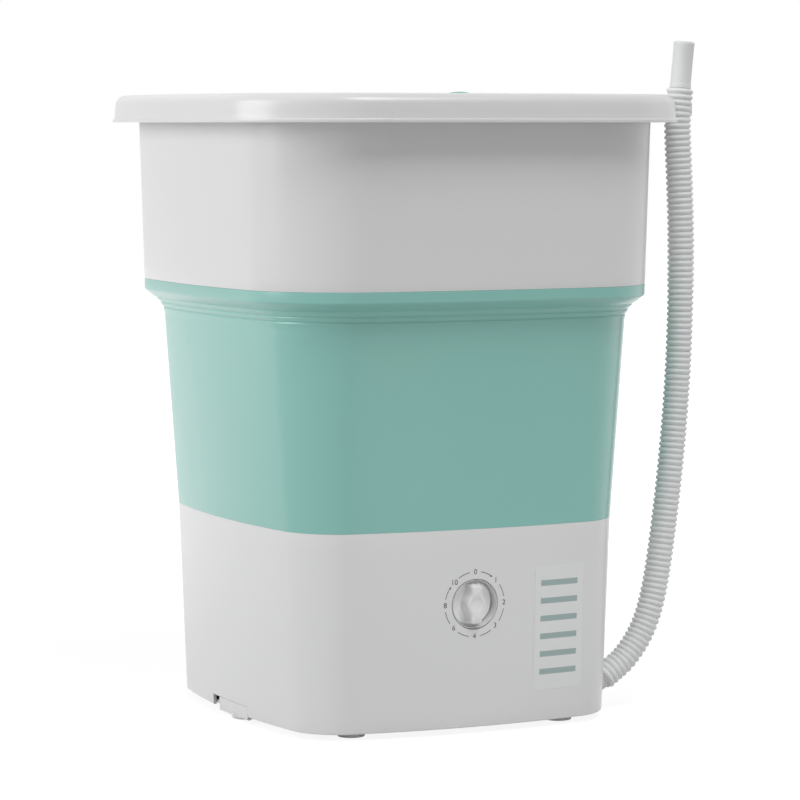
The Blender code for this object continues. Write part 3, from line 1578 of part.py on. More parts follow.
def make_drain_inside():
    """Strainer in the pan, and the pipe that runs from under it to the spout."""
    top = PAN_FLOOR + SEAT_GAP
    neck = SUMP_RADIUS - SEAT_GAP
    strainer = turned(
        "drain_strainer",
        [
            (STRAINER_HOLE_RADIUS, top + STRAINER_THICK),
            (STRAINER_RADIUS * STRAINER_TOP_SHARE, top + STRAINER_THICK),
            (STRAINER_RADIUS, top + STRAINER_THICK / 2),
            (STRAINER_RADIUS, top),
            (neck, top),
            (neck, top - STRAINER_SKIRT / 2),
            (neck - STRAINER_THICK, top - STRAINER_SKIRT / 2),
            (neck - STRAINER_THICK, top),
            (STRAINER_HOLE_RADIUS, top),
        ],
        STRAINER_STEPS,
        closed=True,
    )
    strainer.location = (SUMP_X, HOSE_Y, 0)
    strainer.rotation_euler.z = math.pi / STRAINER_STEPS / 2
    around = [
        (
            SUMP_X + STRAINER_HOLE_PLACE * math.cos(2 * math.pi * k / STRAINER_HOLES),
            HOSE_Y + STRAINER_HOLE_PLACE * math.sin(2 * math.pi * k / STRAINER_HOLES),
        )
        for k in range(STRAINER_HOLES)
    ]
    low, high = top - CUT_OVERRUN, top + 2 * STRAINER_THICK
    cut(strainer, helper(rods("strainer_holes", around, STRAINER_HOLE_RADIUS, low, high, HOLE_STEPS)))
    place(strainer, "white_matt")

    pipe_top = PAN_FLOOR - PAN_WALL - SEAT_GAP
    spout_z = spout_bend()[1]
    bend_centre = (SUMP_X + ELBOW_RADIUS, spout_z + ELBOW_RADIUS)
    turn = (math.pi, 1.5 * math.pi, ELBOW_STEPS)
    out = SPOUT_INNER_X - SEAT_GAP
    route = bent([(SUMP_X, pipe_top)], bend_centre, ELBOW_RADIUS, *turn, [(out, spout_z)])
    pipe = tube("drain_pipe", route, DRAIN_PIPE_RADIUS)
    flange_low = pipe_top - STRAINER_THICK
    flange = rods("pipe_flange", [(SUMP_X, HOSE_Y)], DRAIN_FLANGE, flange_low, pipe_top, TURN_STEPS)
    join(pipe, helper(flange))
    ends = (SUMP_X, pipe_top + CUT_OVERRUN), (out + CUT_OVERRUN, spout_z)
    longer = bent([ends[0]], bend_centre, ELBOW_RADIUS, *turn, [ends[1]])
    cut(pipe, helper(tube("pipe_bore", longer, DRAIN_BORE, tilt=math.pi / TUBE_SIDES)))
    place(pipe, "inner_grey")


def hose_start():
    beyond, z = HOSE_ROUTE[0]
    along = Vector((math.cos(SPOUT_TILT), 0, math.sin(SPOUT_TILT)))
    return Vector((BASE_FOOT_HALF + beyond, HOSE_Y, z)), along


def spout_bend():
    """(x, z) where the spout's bend starts, so that its neck ends square on the hose's face."""
    face = hose_start()[0]
    across = SPOUT_NECK * math.cos(SPOUT_TILT) + SPOUT_BEND_RADIUS * math.sin(SPOUT_TILT)
    up = SPOUT_NECK * math.sin(SPOUT_TILT) + SPOUT_BEND_RADIUS * (1 - math.cos(SPOUT_TILT))
    return face.x - across, face.z - up


def make_drain_spout():
    """The elbow that leaves the side wall and turns up into the hose."""
    face, along = hose_start()
    bend_x, spout_z = spout_bend()
    centre = (bend_x, spout_z + SPOUT_BEND_RADIUS)
    turn = (-math.pi / 2, SPOUT_TILT - math.pi / 2, SPOUT_BEND_STEPS)
    neck = face - along * (SPOUT_BEAD_THICK / 2 + SEAT_GAP)
    route = bent([(SPOUT_INNER_X, spout_z)], centre, SPOUT_BEND_RADIUS, *turn, [(neck.x, neck.z)])
    spout = tube("drain_spout", route, SPOUT_RADIUS)
    upright = along.to_track_quat("Z", "Y").to_matrix().to_4x4()
    bead = rods("spout_bead", [(0, 0)], SPOUT_BEAD, -SPOUT_BEAD_THICK - SEAT_GAP, -SEAT_GAP, TURN_STEPS)
    spigot = rods("spout_spigot", [(0, 0)], SPIGOT_RADIUS, -SPOUT_BEAD_THICK, SPIGOT_LENGTH, TURN_STEPS)
    for piece in (bead, spigot):
        piece.matrix_world = Matrix.Translation(face) @ upright
        join(spout, helper(piece))
    tip = face + along * (SPIGOT_LENGTH + CUT_OVERRUN)
    start = (SPOUT_INNER_X - CUT_OVERRUN, spout_z)
    longer = bent([start], centre, SPOUT_BEND_RADIUS, *turn, [(neck.x, neck.z), (tip.x, tip.z)])
    cut(spout, helper(tube("spout_bore", longer, DRAIN_BORE - RUN_GAP, tilt=math.pi / TUBE_SIDES)))
    place(spout, "white_matt")


def smooth_route():
    """Close points on one smooth curve through the hose's route."""
    points = [Vector((BASE_FOOT_HALF + beyond, HOSE_Y, z)) for beyond, z in HOSE_ROUTE]
    ends = [2 * points[0] - points[1]] + points + [2 * points[-1] - points[-2]]
    line = []
    for before, start, end, after in zip(ends, ends[1:], ends[2:], ends[3:]):
        for step in range(CURVE_SAMPLES):
            t = step / CURVE_SAMPLES
            line.append(
                start
                + (end - before) * (t / 2)
                + (2 * before - 5 * start + 4 * end - after) * (t * t / 2)
                + (3 * start - before - 3 * end + after) * (t**3 / 2)
            )
    return line + [points[-1]]


def spaced(line, count):
    """Points at even distances along a line, both ends included."""
    lengths = [0]
    for one, other in zip(line, line[1:]):
        lengths.append(lengths[-1] + (other - one).length)
    found = []
    index = 0
    for step in range(count + 1):
        wanted = lengths[-1] * step / count
        while index < len(line) - 2 and lengths[index + 1] < wanted:
            index += 1
        share = (wanted - lengths[index]) / (lengths[index + 1] - lengths[index])
        found.append(line[index].lerp(line[index + 1], share))
    return found


def route_length(line):
    return sum((other - one).length for one, other in zip(line, line[1:]))


def make_hose():
    """The ribbed drain hose with its bore, and the plain cuff on its free end."""
    line = smooth_route()
    length = route_length(line)
    ribs = round(length / HOSE_PITCH)
    points = spaced(line, 2 * ribs)
    radii = [HOSE_RADIUS if i % 2 else HOSE_VALLEY for i in range(len(points))]
    hose = tube("drain_hose", points, HOSE_RADIUS, radii)
    inner = spaced(line, round(length / HOSE_BORE_STEP))
    start = (inner[0] - inner[1]).normalized()
    end = (inner[-1] - inner[-2]).normalized()
    inner = [inner[0] + start * CUT_OVERRUN] + inner[1:-1] + [inner[-1] + end * CUT_OVERRUN]
    cut(hose, helper(tube("hose_bore", inner, HOSE_BORE, tilt=math.pi / TUBE_SIDES)))
    place(hose, "hose_white")

    cuff = turned(
        "hose_cuff",
        [
            (CUFF_BORE, CUFF_LENGTH),
            (CUFF_RADIUS - CUFF_EDGE, CUFF_LENGTH),
            (CUFF_RADIUS, CUFF_LENGTH - CUFF_EDGE),
            (CUFF_RADIUS, 0),
            (CUFF_BORE, 0),
        ],
        TURN_STEPS,
        closed=True,
    )
    turn = end.to_track_quat("Z", "Y").to_matrix().to_4x4()
    cuff.matrix_world = Matrix.Translation(points[-1] + end * SEAT_GAP) @ turn
    place(cuff, "hose_white")


def make_hose_clip():
    """An open ring on the rim's skirt that holds the hose from behind, loose enough to slide along it."""
    outside = arc(CLIP_CENTRE_X, HOSE_Y, CLIP_BORE + CLIP_WALL, CLIP_FROM, CLIP_TO, CLIP_STEPS)
    inside = arc(CLIP_CENTRE_X, HOSE_Y, CLIP_BORE, CLIP_TO, CLIP_FROM, CLIP_STEPS)
    clip = flat_plate("hose_clip", [outside + inside], CLIP_LOW, CLIP_LOW + CLIP_RISE)
    pad = box(
        "clip_pad",
        (RIM_HALF, CLIP_PAD_Y - CLIP_PAD_LENGTH / 2, CLIP_LOW + CLIP_WALL / 2),
        (
            CLIP_CENTRE_X - CLIP_BORE / 2,
            CLIP_PAD_Y + CLIP_PAD_LENGTH / 2,
            CLIP_LOW + CLIP_RISE - CLIP_WALL / 2,
        ),
    )
    bore = rods(
        "clip_bore",
        [(CLIP_CENTRE_X, HOSE_Y)],
        CLIP_BORE + CLIP_WALL / 2,
        CLIP_LOW - CUT_OVERRUN,
        CLIP_LOW + CLIP_RISE + CUT_OVERRUN,
        TURN_STEPS,
    )
    skirt = RIM_HALF + SEAT_GAP
    envelope = loft(
        "rim_outside",
        [(skirt, RIM_LOW - CUT_OVERRUN), (skirt, RIM_HIGH + CUT_OVERRUN)],
        closed=False,
    )
    cut(helper(pad), helper(bore))
    cut(pad, helper(envelope))
    join(clip, pad)
    return place(clip, "white_matt")


def build():
    global model, helpers, smooth_shading
    clear_scene()
    smooth_shading = smooth_by_angle()
    model = new_collection("folding_washing_machine")
    helpers = new_collection("cutters")

    make_base_shell()
    make_side_cover()
    make_bottom_cover()
    make_feet()
    make_bottom_screws()
    make_tub_pan()
    make_bellows()
    make_bearing_housing()
    make_drive_plate()
    make_motor()
    make_pulleys()
    make_belt()
    make_capacitor()
    make_drain_inside()
    make_drain_spout()
    make_hose()

    fold_axis = axis_empty("tub_fold_axis", (0, 0, HOOP_LOW))
    folding = [make_hoop(), make_clamp_ring(), make_rim(), make_hinge_strip(), make_hose_clip()]
    folding += make_hinge_pins()
    for obj in folding:
        hang(obj, fold_axis)
    lid_axis = hang(axis_empty("lid_hinge_axis", (0, *hinge_line())), fold_axis)
    bpy.context.view_layer.update()
    for obj in (make_lid(), make_lid_pull()):
        hang(obj, lid_axis)
    wash_axis = axis_empty("pulsator_axis", (0, 0, PAN_FLOOR))
    for obj in (make_pulsator(), make_pulsator_screw(), make_pulsator_shaft()):
        hang(obj, wash_axis)
    make_dial(axis_empty("knob_axis", dial_point(), dial_turn()))


build()
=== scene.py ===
"""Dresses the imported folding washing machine: finer casings, finishes, dial marks and studio."""

from math import atan, atan2, ceil, copysign, cos, exp, hypot, pi, radians, sin, sqrt, tan

import bmesh
import bpy
from bpy.props import FloatProperty, FloatVectorProperty, IntProperty, PointerProperty, StringProperty
from mathutils import Matrix, Vector


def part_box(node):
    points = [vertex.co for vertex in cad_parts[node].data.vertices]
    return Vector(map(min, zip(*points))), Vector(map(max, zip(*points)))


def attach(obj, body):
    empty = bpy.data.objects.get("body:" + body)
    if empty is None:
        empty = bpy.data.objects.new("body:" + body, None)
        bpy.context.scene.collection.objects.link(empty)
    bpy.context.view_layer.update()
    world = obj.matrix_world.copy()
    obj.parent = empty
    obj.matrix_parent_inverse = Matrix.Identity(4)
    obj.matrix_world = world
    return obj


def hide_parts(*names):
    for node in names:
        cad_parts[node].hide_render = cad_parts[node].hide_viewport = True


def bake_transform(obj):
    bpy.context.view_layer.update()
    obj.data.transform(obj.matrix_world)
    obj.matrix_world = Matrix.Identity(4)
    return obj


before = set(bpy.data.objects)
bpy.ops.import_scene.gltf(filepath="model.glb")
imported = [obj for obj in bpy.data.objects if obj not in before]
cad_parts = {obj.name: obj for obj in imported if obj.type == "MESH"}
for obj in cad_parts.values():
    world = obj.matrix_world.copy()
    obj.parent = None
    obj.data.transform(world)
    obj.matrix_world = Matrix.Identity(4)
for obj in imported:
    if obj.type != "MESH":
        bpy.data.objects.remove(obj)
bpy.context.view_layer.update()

bl_info = {
    "name": "Folding Washing Machine",
    "version": (1, 0, 0),
    "blender": (4, 5, 0),
    "location": "View3D > Sidebar > Washer",
    "description": "Builds the finer pieces, finishes and studio of a folding washing machine",
    "category": "Object",
}

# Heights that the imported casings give
BASE_LOW, BASE_HIGH = 0.0045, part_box("base_shell")[1].z
HOOP_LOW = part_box("hoop")[0].z
RIM_LOW, RIM_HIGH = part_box("rim")[0].z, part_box("rim")[1].z

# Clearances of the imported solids: at rest, where something turns, and where the folding wall meets a casing
SEAT_GAP, RUN_GAP, SEAM = 0.0003, 0.0004, 0.00006

# How far a cutter reaches past what it cuts
OVERRUN = 0.003

# How finely the dressed pieces are cut, and how round their moulded edges are
CORNER_CUTS, SIDE_CUTS, ARC_CUTS = 12, 10, 6
TURN_CUTS, SMALL_TURN_CUTS, BORE_CUTS = 64, 40, 24
SHARP_ANGLE, ROUND_ANGLE = radians(34), radians(60)
FINE_EDGE, EDGE = 0.0003, 0.0004

# Walls of the casings
BASE_WALL = 0.0025
BELLOWS_WALL = 0.0024
HOOP_WALL = RIM_WALL = 0.0026
LID_WALL = 0.0024
PAN_WALL = 0.003
CLAMP_WALL = 0.003

# Levels inside the tub
LEDGE_TOP = BASE_HIGH - 0.020
LEDGE_REACH = 0.0045
PAN_FLOOR = BASE_HIGH - 0.032
LID_SINK = 0.0088
LID_LOW = RIM_HIGH - LID_SINK + SEAT_GAP
LID_HIGH = LID_LOW + LID_WALL
LID_FIELD_RISE = 0.0012
LEDGE_LIP = 0.006
TUCK_TOP = HOOP_LOW + 0.009

# The folding wall's band, the step from the band into the cove, and the fold lines below the band
BAND_HEIGHT, BAND_STEP, BAND_DROP = 0.0085, 0.0068, 0.0054
COVE_CUTS = 24
CREASE_DROPS, CREASE_SPREAD = (0.0064, 0.0104, 0.0146), 0.0007

# Lid's border and pull
LID_BORDER = 0.020
PULL_Y, PULL_HALF, PULL_CUTS = -0.1233, 0.012, 28

# Lid hinge
HINGE_KNUCKLE = 0.0032
HINGE_PIN = 0.0012
HINGE_PLACE = 0.060
KNUCKLE_LENGTH = 0.026
EAR_WIDTH = 0.006
HINGE_TONGUE = 0.0026

# Dial
DIAL_Z = PAN_FLOOR - PAN_WALL - 0.0223
WELL_RADIUS = 0.01915
WELL_DEPTH = 0.0092
WELL_WALL = 0.0010
WELL_GROOVE = 0.0006
PRINT_LIFT = 0.00006

# Cord bay in the base's left side, with its snap-in cover, and the bottom cover
BAY_FRONT, BAY_BACK, COVER_BACK = -0.037, 0.032, 0.018
BAY_TOP = BASE_LOW + 0.0085
BOTTOM_COVER_LOW, BOTTOM_COVER_HIGH = BASE_LOW + 0.001, BASE_LOW + 0.0035

# Places of the four feet, the cover's foot and the screws' pillars
FOOT_X, FOOT_Y = 0.08799, 0.119
COVER_FOOT_OUT, COVER_FOOT_Y = 0.0028, -0.011
PILLAR_Y = 0.068

# What the pan has its two holes for: the bearing's housing, and the sump under the strainer
HOUSING_RADIUS, SUMP_X, SUMP_RADIUS = 0.014, 0.094, 0.0115

# Where the hose stands beside the tub, and the points that its centreline runs through as (x, z)
HOSE_Y = -0.093
HOSE_ROUTE = [
    (0.1412, 0.0248), (0.1497, 0.0310), (0.1582, 0.0372), (0.1652, 0.0445), (0.1719, 0.0533),
    (0.1775, 0.0633), (0.1820, 0.0742), (0.1858, 0.0870), (0.1889, 0.1010), (0.1916, 0.1165),
    (0.1942, 0.1340), (0.1969, 0.1540), (0.1996, 0.1750), (0.2021, 0.1980), (0.2043, 0.2210),
    (0.2062, 0.2450), (0.2079, 0.2720), (0.2090, 0.3010), (0.2096, 0.3300), (0.2096, 0.3600),
    (0.2091, 0.3880), (0.2079, 0.4160), (0.2067, 0.4390), (0.2060, 0.4550), (0.2061, 0.4671),
    (0.2070, 0.4776), (0.2080, 0.4880),
]
HOSE_BORE, CUFF_BORE = 0.0071, 0.0068
SPOUT_TILT, SPOUT_CUTS = radians(36), 12
SPOUT_BEND, SPOUT_NECK, SPOUT_RADIUS = 0.0095, 0.003, 0.0075
SPOUT_INNER_X, SPOUT_BORE = 0.1145, 0.0051
SPIGOT_RADIUS, SPIGOT_LENGTH = 0.0062, 0.012

# What a Boolean modifier does with another object
CUT, JOIN, KEEP = "DIFFERENCE", "UNION", "INTERSECT"


def metres(name, description, default):
    return FloatProperty(name=name, description=description, default=default, unit="LENGTH")


def degrees(name, description, default):
    default = radians(default)
    return FloatProperty(name=name, description=description, default=default, subtype="ANGLE")


def colour(name, description, default):
    return FloatVectorProperty(name=name, description=description, default=default, subtype="COLOR")


def amount(name, description, default, **limits):
    return FloatProperty(name=name, description=description, default=default, min=0, **limits)


class WasherSizes(bpy.types.PropertyGroup):
    """Sizes that the casings and the trim are drawn from."""

    foot_half: metres("Base foot", "Half width of the base at its lower edge", 0.1257)
    top_half: metres("Base top", "Half width of the base where the rubber wall starts", 0.1312)
    hoop_low_half: metres("Hoop foot", "Half width of the white hoop at its lower edge", 0.1561)
    hoop_high_half: metres("Hoop top", "Half width of the white hoop under the rim", 0.1596)
    rim_half: metres("Rim", "Half width of the rim's skirt", 0.1798)
    depth_extra: metres("Extra depth", "How much deeper than wide the plan is, on each side", 0.0087)
    side_bow: metres("Side bow", "How far the middle of each side bows outwards", 0.0138)
    corner_radius: metres("Corner radius", "Radius of the plan's corners at the base's foot", 0.027)
    cove_radius: metres("Cove radius", "Radius of the hollow under the rubber band", 0.022)
    crease_depth: metres("Crease depth", "Depth of the fold lines in the cove", 0.0008)
    knob_radius: metres("Knob radius", "Radius of the timer knob's disc", 0.0168)
    mark_radius: metres("Mark radius", "Radius of the ring of numbers round the knob", 0.0246)
    digit_height: metres("Digit height", "Height of the printed numbers", 0.0042)
    film_width: metres("Film width", "Width of the plain film on the front", 0.044)
    film_height: metres("Film height", "Height of the plain film on the front", 0.096)


class HoseSizes(bpy.types.PropertyGroup):
    """Sizes of the ribbed drain hose and its cuff."""

    ridge: metres("Ridge radius", "Radius of the hose over its ribs", 0.01062)
    valley: metres("Valley radius", "Radius of the hose between its ribs", 0.0090)
    pitch: metres("Rib pitch", "Distance from one rib to the next", 0.0045)
    cuff_radius: metres("Cuff radius", "Outer radius of the plain cuff", 0.0084)
    cuff_length: metres("Cuff length", "Length of the plain cuff", 0.0365)
    sides: IntProperty(name="Sides", description="Flats round the hose", default=28, min=8, max=64)


class WasherFinishes(bpy.types.PropertyGroup):
    """Colours of the finishes."""

    white: colour("White plastic", "Colour of the glossy casings", (0.80, 0.80, 0.80))
    teal: colour("Teal rubber", "Colour of the folding wall", (0.235, 0.55, 0.487))
    hose: colour("Hose", "Colour of the drain hose", (0.86, 0.865, 0.865))
    ink: colour("Ink", "Colour of the dial's marks", (0.045, 0.045, 0.048))
    bars: colour("Film bars", "Colour of the plain bars on the film", (0.36, 0.47, 0.46))
    gloss: amount("Gloss roughness", "Roughness of the glossy casings", 0.30, max=1)


class StudioSettings(bpy.types.PropertyGroup):
    """The camera's place and the studio's light."""

    azimuth: degrees("Azimuth", "Angle of the view round the machine", -24.87)
    distance: metres("Distance", "Level distance from the tub's axis to the camera", 2.718)
    height: metres("Height", "Height of the camera", 0.4614)
    pitch: degrees("Pitch", "How far the camera looks down", 4.604)
    off_axis: metres("Off axis", "How far right of the tub's axis the view is aimed", 0.00757)
    lens: amount("Lens", "Focal length for a 36 mm sensor, in mm", 155.1)
    ambient: amount("Ambient", "Strength of the even light from all round", 0.29)
    key: amount("Key", "Power of the soft light at the left, in watts", 23.4)
    overhead: amount("Overhead", "Power of the overhead light as a share of the key's", 1.25)
    bounce: amount("Floor bounce", "Power of the low light in front as a share of the key's", 0.0028)
    aside: amount("Right fill", "Power of the light at the right as a share of the key's", 0.04)
    sheen: amount("Sheen", "Power of the panel that only reflections show as a share of the key's", 0.07)
    behind: amount("Back fill", "Power of the light behind as a share of the key's", 0.35)
    floor_blend: amount("Floor blend", "Share of the floor's look that is plain white", 0.7, max=1)


class Expression:
    """A value in a node tree. Python's operators on it add Math nodes."""

    def __init__(self, board, socket):
        self.board = board
        self.socket = socket

    def maths(self, operation, *operands):
        return self.board.node("ShaderNodeMath", "Value", {"operation": operation}, dict(enumerate(operands)))

    def __add__(self, other):
        return self.maths("ADD", self, other)

    def __radd__(self, other):
        return self.maths("ADD", other, self)

    def __sub__(self, other):
        return self.maths("SUBTRACT", self, other)

    def __rsub__(self, other):
        return self.maths("SUBTRACT", other, self)

    def __mul__(self, other):
        return self.maths("MULTIPLY", self, other)

    def __mod__(self, other):
        return self.maths("FLOORED_MODULO", self, other)

    def __gt__(self, other):
        return self.maths("GREATER_THAN", self, other)

    def __lt__(self, other):
        return self.maths("LESS_THAN", self, other)

    def clamped(self):
        return self.board.node("ShaderNodeClamp", Value=self)


class Board:
    """A node tree that is wired by name."""

    def __init__(self, tree):
        self.tree = tree

    def feed(self, entry, value):
        if isinstance(value, Expression):
            self.tree.links.new(value.socket, entry)
        else:
            entry.default_value = value

    def node(self, kind, output=0, settings=(), inputs=(), **named):
        """Adds a node, sets it, fills its inputs and returns an output. Spaces in names are underscores."""
        node = self.tree.nodes.new(kind)
        for key, value in dict(settings).items():
            setattr(node, key, value)
        for key, value in dict(inputs).items():
            self.feed(node.inputs[key], value)
        for key, value in named.items():
            self.feed(node.inputs[key.replace("_", " ")], value)
        return Expression(self, node.outputs[output])


class Look(Board):
    """A material with a Principled shader, patterned in the object's own coordinates."""

    def __init__(self, name, roughness, metallic=0.0):
        self.material = bpy.data.materials.new(name)
        self.material.use_nodes = True
        super().__init__(self.material.node_tree)
        self.inputs = self.tree.nodes["Principled BSDF"].inputs
        self.inputs["Metallic"].default_value = metallic
        self.inputs["Roughness"].default_value = roughness
        self.place = self.node("ShaderNodeTexCoord", "Object")

    def noise(self, scale, detail=2.0, place=None):
        return self.node("ShaderNodeTexNoise", Vector=place or self.place, Scale=scale, Detail=detail)

    def drawn(self, stretch):
        """The object's coordinates, stretched so that a pattern draws out along one way."""
        return self.node("ShaderNodeMapping", Vector=self.place, Scale=stretch)

    def mixed(self, share, one, other):
        """A colour between two colours."""
        return self.node("ShaderNodeMix", 2, {"data_type": "RGBA"}, {0: share, 6: one, 7: other})

    def coated(self, weight):
        self.inputs["Coat Weight"].default_value = weight
        self.inputs["Coat Roughness"].default_value = 0.22

    def done(self, tone, roughness, relief=None, depth=0.0):
        """Feeds the shader its colour, its roughness and its bumps, and returns the material."""
        self.feed(self.inputs["Base Color"], tone)
        self.feed(self.inputs["Roughness"], roughness)
        if relief is not None:
            bumps = self.node("ShaderNodeBump", Height=relief, Distance=depth, Strength=1.0)
            self.feed(self.inputs["Normal"], bumps)
        return self.material


def tinted(base, share):
    return (*(min(1, channel * share) for channel in base[:3]), 1)


def moulded(name, base, roughness, grain=0.0024, depth=0.00001, coat=0.0):
    """Moulded plastic: faint clouds in its colour, a fine skin, and gloss that wanders a little."""
    look = Look(name, roughness)
    clouds, skin, flow = look.noise(7.0), look.noise(1 / grain, 3.0), look.noise(42.0)
    look.coated(coat)
    tone = look.mixed(clouds, tinted(base, 0.988), tinted(base, 1.012))
    return look.done(tone, flow * 0.08 + clouds * 0.05 + (roughness - 0.02), skin * 0.7 + flow * 0.3, depth)


def soft_rubber(name, base, roughness=0.40):
    """Thermoplastic rubber: a faint bloom over a fine, slightly drawn grain."""
    look = Look(name, roughness)
    clouds, bloom = look.noise(5.0), look.noise(30.0, 4.0)
    grain = look.noise(900.0, 3.0, look.drawn((1, 1, 0.35)))
    look.coated(0.7)
    tone = look.mixed(clouds * 0.6 + bloom * 0.4, tinted(base, 0.975), tinted(base, 1.03))
    return look.done(tone, bloom * 0.14 + (roughness - 0.07), grain * 0.6 + bloom * 0.4, 0.00003)


def grippy_rubber(name, base, roughness=0.8):
    """Matt rubber with open pores and dust."""
    look = Look(name, roughness)
    dust = look.noise(90.0, 3.0)
    tone = look.mixed(dust, tinted(base, 0.82), tinted(base, 1.25))
    return look.done(tone, dust * 0.12 + (roughness - 0.06), look.noise(1400.0, 4.0), 0.00008)


def bright_metal(name, base, roughness=0.4):
    """Turned or drawn steel with fine lines round its axis."""
    look = Look(name, roughness, metallic=1.0)
    streak, stain = look.noise(1600.0, 3.0, look.drawn((1, 1, 0.06))), look.noise(55.0, 3.0)
    tone = look.mixed(stain, tinted(base, 0.9), tinted(base, 1.06))
    return look.done(tone, streak * 0.16 + stain * 0.1 + (roughness - 0.1), streak, 0.00001)


def spangled_sheet(name, base):
    """Zinc-coated sheet with its crystal pattern."""
    look = Look(name, 0.42, metallic=0.9)
    crystals = look.node("ShaderNodeTexVoronoi", "Color", Vector=look.place, Scale=150.0)
    shade = look.node("ShaderNodeSeparateColor", "Red", Color=crystals)
    dark, light = ((*(channel + step for channel in base), 1) for step in (-0.1, 0.1))
    return look.done(look.mixed(shade, dark, light), shade * 0.2 + 0.32)


def cast_paint(name, base, roughness=0.5):
    """Paint over a sand-cast or pressed body."""
    look = Look(name, roughness, metallic=0.35)
    lumps = look.noise(420.0, 5.0)
    tone = look.mixed(look.noise(25.0), tinted(base, 0.88), tinted(base, 1.1))
    return look.done(tone, lumps * 0.15 + (roughness - 0.07), lumps, 0.0001)


def pad_ink(name, base):
    """Pad-printed ink, thin enough to break up slightly."""
    look = Look(name, 0.5)
    broken = ((look.noise(2600.0) - 0.5) * 3.0).clamped()
    return look.done(look.mixed(broken * 0.35, tinted(base, 1), tinted(base, 3)), broken * 0.12 + 0.44)


def film_with_bars(name, paper, bar, bars=7):
    """Plain film with rows of equal bars, placed by its own UV map."""
    look = Look(name, 0.3)
    across = look.node("ShaderNodeUVMap", "UV", {"uv_map": "film"})
    u, v = (look.node("ShaderNodeSeparateXYZ", axis, Vector=across) for axis in "XY")
    step = (v * bars + 0.5) % 1.0
    inside = (step > 0.34) * (step < 0.66) * (u > 0.12) * (u < 0.88) * (v > 0.07) * (v < 0.93)
    fibre = look.noise(600.0, 3.0)
    tone = look.mixed(inside, tinted(paper, 1), tinted(bar, 1))
    return look.done(look.mixed(fibre * 0.06, tone, tinted(paper, 0.8)), fibre * 0.1 + 0.30)


def finish(name):
    """The material of one finish, made when it is first asked for."""
    colours = bpy.context.scene.washer_finishes
    white = tuple(colours.white)
    makers = {
        "white casing": (moulded, white, {"roughness": colours.gloss, "coat": 0.4}),
        "white knob": (moulded, tinted(white, 1.1), {"roughness": 0.30, "grain": 0.0006}),
        "white inner": (moulded, tinted(white, 0.95), {"roughness": 0.5, "grain": 0.0007, "depth": 0.00005}),
        "teal wall": (soft_rubber, colours.teal, {}),
        "teal gloss": (moulded, (0.18, 0.53, 0.48), {"roughness": 0.30, "coat": 0.5}),
        "hose plastic": (moulded, colours.hose, {"roughness": 0.42, "grain": 0.0008, "depth": 0.00003}),
        "grey moulding": (moulded, (0.42, 0.43, 0.44), {"roughness": 0.55, "depth": 0.00006}),
        "foot rubber": (grippy_rubber, (0.74, 0.74, 0.74), {}),
        "black rubber": (grippy_rubber, (0.035, 0.035, 0.037), {"roughness": 0.72}),
        "bright steel": (bright_metal, (0.66, 0.66, 0.67), {}),
        "zinc sheet": (spangled_sheet, (0.56, 0.57, 0.58), {}),
        "motor paint": (cast_paint, (0.26, 0.27, 0.28), {}),
        "dial ink": (pad_ink, colours.ink, {}),
        "bar film": (film_with_bars, (0.845, 0.85, 0.85), {"bar": tuple(colours.bars)}),
    }
    maker, base, settings = makers[name]
    return bpy.data.materials.get(name) or maker(name, tuple(base), **settings)


class Plan:
    """The tub's plan: a rectangle with round corners, bowed out along each side, at any half width."""

    def __init__(self, context):
        self.sizes = sizes = context.scene.washer_sizes
        self.middle = sizes.foot_half - sizes.corner_radius

    def depth(self, half):
        return half + self.sizes.depth_extra

    def side_x(self, half, y):
        return half + self.sizes.side_bow * (1 - (y / self.depth(half)) ** 2)

    def front_y(self, half, x):
        return self.depth(half) + self.sizes.side_bow * (1 - (x / half) ** 2)

    def base_half(self, height):
        sizes = self.sizes
        share = (height - BASE_LOW) / (BASE_HIGH - BASE_LOW)
        return sizes.foot_half + (sizes.top_half - sizes.foot_half) * share

    def hoop_half(self, height):
        sizes = self.sizes
        share = (height - HOOP_LOW) / (RIM_LOW - HOOP_LOW)
        return sizes.hoop_low_half + (sizes.hoop_high_half - sizes.hoop_low_half) * share

    def mouth_half(self):
        return self.hoop_half(RIM_HIGH - LID_SINK) - HOOP_WALL - SEAT_GAP - RIM_WALL

    def ring(self, half):
        """Points of the plan at one half width, anticlockwise from the +X side."""
        depth = self.depth(half)
        radius = half - self.middle
        ends = []
        for quarter in range(4):
            start = quarter * pi / 2
            centre_x = copysign(half - radius, cos(start + pi / 4))
            centre_y = copysign(depth - radius, sin(start + pi / 4))
            for step in range(CORNER_CUTS + 1):
                turn = start + step * pi / 2 / CORNER_CUTS
                ends.append((centre_x + radius * cos(turn), centre_y + radius * sin(turn)))
        points = []
        for i, (x, y) in enumerate(ends):
            points.append((x, y))
            if i % (CORNER_CUTS + 1) == CORNER_CUTS:
                next_x, next_y = ends[(i + 1) % len(ends)]
                for step in range(1, SIDE_CUTS):
                    share = step / SIDE_CUTS
                    points.append((x + (next_x - x) * share, y + (next_y - y) * share))
        bow = self.sizes.side_bow
        return [
            (x + x / half * bow * (1 - (y / depth) ** 2), y + y / depth * bow * (1 - (x / half) ** 2))
            for x, y in points
        ]

    def loft(self, name, section, closed=True):
        """Carries a section of (half width, height) points round the plan."""
        rings = [[(x, y, height) for x, y in self.ring(half)] for half, height in section]
        return skinned(name, rings, closed)


def object_of(name, shape):
    mesh = bpy.data.meshes.new(name)
    shape.to_mesh(mesh)
    shape.free()
    return linked(name, mesh)


def linked(name, data):
    obj = bpy.data.objects.new(name, data)
    bpy.context.scene.collection.objects.link(obj)
    return obj


